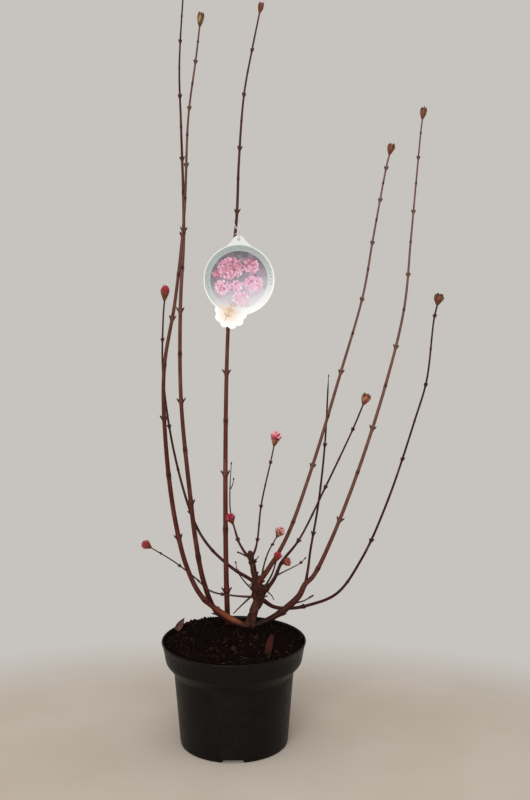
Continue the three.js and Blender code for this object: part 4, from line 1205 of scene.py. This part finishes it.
def print_ink(name, color, light):
    return mottled(name, (0.9, 3, 0.5), [(0.3, color), (0.7, light)], 0, 0.36, **PRINT_GLOSS)


def printed(shape, outline, front, mark):
    """A flat printed patch as a closed thin sheet, from its outline about the label's centre."""
    ring = np.array([(x, 0.0, z) for x, z in outline])
    shape.rings(np.stack([ring + (0, 0.05, 0), ring]) + np.array([LABEL[0], front, LABEL[2]]), mark)


def blossom(x, z, radius, turn):
    """The outline of a five-petalled blossom."""
    angle = full_turn(40)
    reach = radius * (0.62 + 0.38 * np.abs(np.cos(2.5 * angle)) ** 0.6)
    return np.stack([x + reach * np.cos(angle + turn), z + reach * np.sin(angle + turn)], 1)


def leaf_print(x, z, length, width, turn):
    """The outline of a pointed leaf."""
    t = np.linspace(0, 1, 9)
    half = width / 2 * np.sin(math.pi * t ** 0.85)
    along = np.concatenate([t, t[-2:0:-1]]) * length
    side = np.concatenate([-half, half[-2:0:-1]])
    c, s = math.cos(turn), math.sin(turn)
    return np.stack([x + along * c - side * s, z + along * s + side * c], 1)


def label():
    front = LABEL[1] - LABEL_THICKNESS
    loops = [label_outline(), circle(0, HOLE_HEIGHT, HOLE_RADIUS, 40)]
    card = flat_card("hang_label", loops, front, LABEL_THICKNESS, 0.14, card_print(), ["label"])
    card.data.materials.append(card_plain())
    facing = vectors(card.data.polygons, "normal")[:, 1]
    card.data.polygons.foreach_set("material_index", (facing > 0.5).astype(int))
    flat_card("label_picture", [circle(0, 0, PICTURE_RADIUS)], front - 0.06, 0.12, 0.02, picture_ground())
    blossoms(front)
    trim = Shape()
    for k in range(RING_LEAVES):
        turn = rad(196 - k * 6.1)
        x, z = RING_RADIUS * math.cos(turn), RING_RADIUS * math.sin(turn)
        lean = turn - math.pi / 2 + (0.55 if k % 2 else -0.55)
        printed(trim, leaf_print(x, z, 2.8, 1.15, lean), front - 0.05, 0 if k % 3 else 1)
    for a, b in zip(PRINTED_STEM, PRINTED_STEM[1:]):
        turn = math.atan2(b[1] - a[1], b[0] - a[0])
        printed(trim, leaf_print(*a, math.hypot(b[0] - a[0], b[1] - a[1]) * 1.12, 0.7, turn), front - 0.05, 3)
        for sign in (1, -1):
            printed(trim, leaf_print(*b, 6.6, 2.6, turn + sign * 0.95 + 0.1), front - 0.08, 2)
            printed(trim, leaf_print(*b, 5.2, 0.36, turn + sign * 0.95 + 0.1), front - 0.12, 3)
    trim.piece("label_trim", "label_card", palette(print_ink, "ink_", TRIM_INKS), flat=True)


def blossoms(front):
    """Clusters of blossoms, paler outwards, and paler towards the bottom right under the painted glare."""
    rng = np.random.default_rng(77)
    art = Shape()
    level = front - 0.07
    for cx, cz, size in CLUSTERS:
        count = int(size * size * 0.5)
        for k in range(count, 0, -1):
            spread = math.sqrt((k - 0.5) / count)
            turn = rad(k * GOLDEN_ANGLE) + rng.uniform(-0.2, 0.2)
            x, z = cx + size * spread * math.cos(turn), cz + size * spread * 0.88 * math.sin(turn)
            span = rng.uniform(1.4, 2.2)
            if math.hypot(x, z) + span > PICTURE_RADIUS - 0.5:
                continue
            # Painted glare: blossoms grow paler towards the bottom right of the picture.
            painted_glare = np.clip(0.42 + (0.3 * x - 0.95 * z) / 52, 0, 1)
            tone = 0.7 + 1.6 * spread + 3.4 * (painted_glare - 0.32) + rng.normal(0, 0.75)
            level -= 0.0006
            printed(art, blossom(x, z, span, rng.uniform(0, 6.3)), level, int(np.clip(round(tone), 0, 5)))
    art.piece("label_blossoms", "label_card", palette(print_ink, "ink_", BLOSSOM_INKS), flat=True)


def tie():
    """Two-ply thread in a loop round the cane and through the label's hole, with a wound knot."""
    cane = Curve(LIMBS["cane_middle"]["way"])
    s = np.linspace(0, cane.length, 3000)
    held = cane.at(s)[np.argmax(cane.at(s)[:, 2] >= TIE_HEIGHT)]
    x, back, z = LABEL
    front, hole = back - LABEL_THICKNESS, z + HOLE_HEIGHT
    loop = [[held[0], held[1] + TIE_GRIP, held[2] + 1], [held[0] + TIE_GRIP, held[1], held[2]],
            [x + 1.2, back + 4, hole + 11], [x, back + 1.6, hole + 4], [x, (back + front) / 2, hole - 0.5],
            [x, front - 1.6, hole + 4], [x - 1.2, front, hole + 11], [held[0] - TIE_GRIP, held[1], held[2]]]
    shape = Shape()
    ring = Curve(loop[-3:] + loop + loop[:3])
    ends = np.where(np.linalg.norm(ring.points - loop[0], axis=1) < 0.02)[0]
    thread(shape, ring, ring.run[ends[0]], ring.run[ends[-1]] + 0.6, 0.5)
    knot = np.array([x - 0.2, front + 0.3, hole + 10.5])
    for k, (dx, dz) in enumerate(((-7, 6), (-5.5, -4.5))):
        end = Curve([knot, knot + (dx * 0.35, -0.8, dz * 0.5), knot + (dx * 0.75, -0.4 + 0.6 * k, dz * 0.8),
                     knot + (dx, 0.2, dz)])
        thread(shape, end, 0, end.length, 0.36)
    turn = np.linspace(0, 4 * math.pi, 40)
    wound = Curve(np.stack([knot[0] + 1.1 * np.cos(turn), knot[1] + 1.1 * np.sin(turn),
                            knot[2] - 1.4 + 0.22 * turn], 1))
    thread(shape, wound, 0, wound.length, 0.42)
    made = mottled("tie_thread", (2.5, 3, 0.5), [(0.3, (176, 168, 158)), (0.7, (222, 216, 208))], 0.1, 0.7,
                   Sheen_Weight=0.2)
    shape.piece("tie_loop", "tie_thread", [made], "label_tie")


def thread(shape, curve, low, high, radius):
    """A stretch of two-ply thread, its section turning along it."""
    s = np.arange(low, high, 0.35)
    girth = radius * (0.84 + 0.16 * np.cos(2 * (full_turn(10)[None] - s[:, None] * 2.4)))
    shape.rings(tube(curve.at(s), girth, *sideways(curve.tangent(s), 0.2)))


# Stage and light

FLOOR_CENTRE, FLOOR_REACH = (0.0, -0.62), (0.78, 1.04)
SURROUND = (199, 195, 190)


def stage():
    """A pale round floor whose edge fades away, so that nothing stands behind the plant on any side."""
    mesh = bpy.data.meshes.new("floor")
    mesh.from_pydata([(-3, -3, 0), (3, -3, 0), (3, 3, 0), (-3, 3, 0)], [], [(0, 1, 2, 3)])
    made = Finish("floor", 0.9, Specular_IOR_Level=0.1)
    cloud = made.noise(0.004, 3, 0.5)
    made.color(made.ramp(cloud, [(0.35, (190, 179, 166)), (0.65, (199, 189, 178))]))
    away = made.node("ShaderNodeVectorMath", {0: made.place, 1: (*FLOOR_CENTRE, 0.0)}, operation="DISTANCE")
    near, far = FLOOR_REACH
    links = {"Value": away.outputs["Value"], "From Min": near, "From Max": far, "To Min": 1.0, "To Max": 0.0}
    fade = made.node("ShaderNodeMapRange", links, interpolation_type="SMOOTHSTEP")
    made.tree.links.new(fade.outputs["Result"], made.shader.inputs["Alpha"])
    mesh.materials.append(made.bump(cloud, 0.2).material)
    floor = bpy.data.objects.new("floor", mesh)
    scene.collection.objects.link(floor)


def lamp(name, place, target, power, width, height):
    data = bpy.data.lights.new(name, "AREA")
    data.shape = "RECTANGLE"
    data.size, data.size_y, data.energy = width, height, power
    made = bpy.data.objects.new(name, data)
    scene.collection.objects.link(made)
    made.location = place
    way = np.array(target) - np.array(place)
    level = math.hypot(way[0], way[1])
    made.rotation_euler = (math.atan2(level, -way[2]), 0, math.atan2(-way[0], way[1]))


def light():
    world = bpy.data.worlds.new("world")
    scene.world = world
    world.use_nodes = True
    sky = world.node_tree.nodes["Background"]
    sky.inputs["Color"].default_value = srgb(*SURROUND)
    sky.inputs["Strength"].default_value = 1.0
    lamp("key", (-0.62, -2.4, 0.82), (0.0, 0.2, 0.42), 40, 1.1, 1.1)
    lamp("front", (0.35, -3.2, 1.2), (0.0, 0.2, 0.4), 17, 1.4, 1.0)
    lamp("top", (0.0, -0.9, 3.0), (0.0, -0.1, 0.0), 14, 1.6, 1.2)


stage()
light()
pot()
soil()
dry_leaf()
old_stem()
plant()
label()
tie()
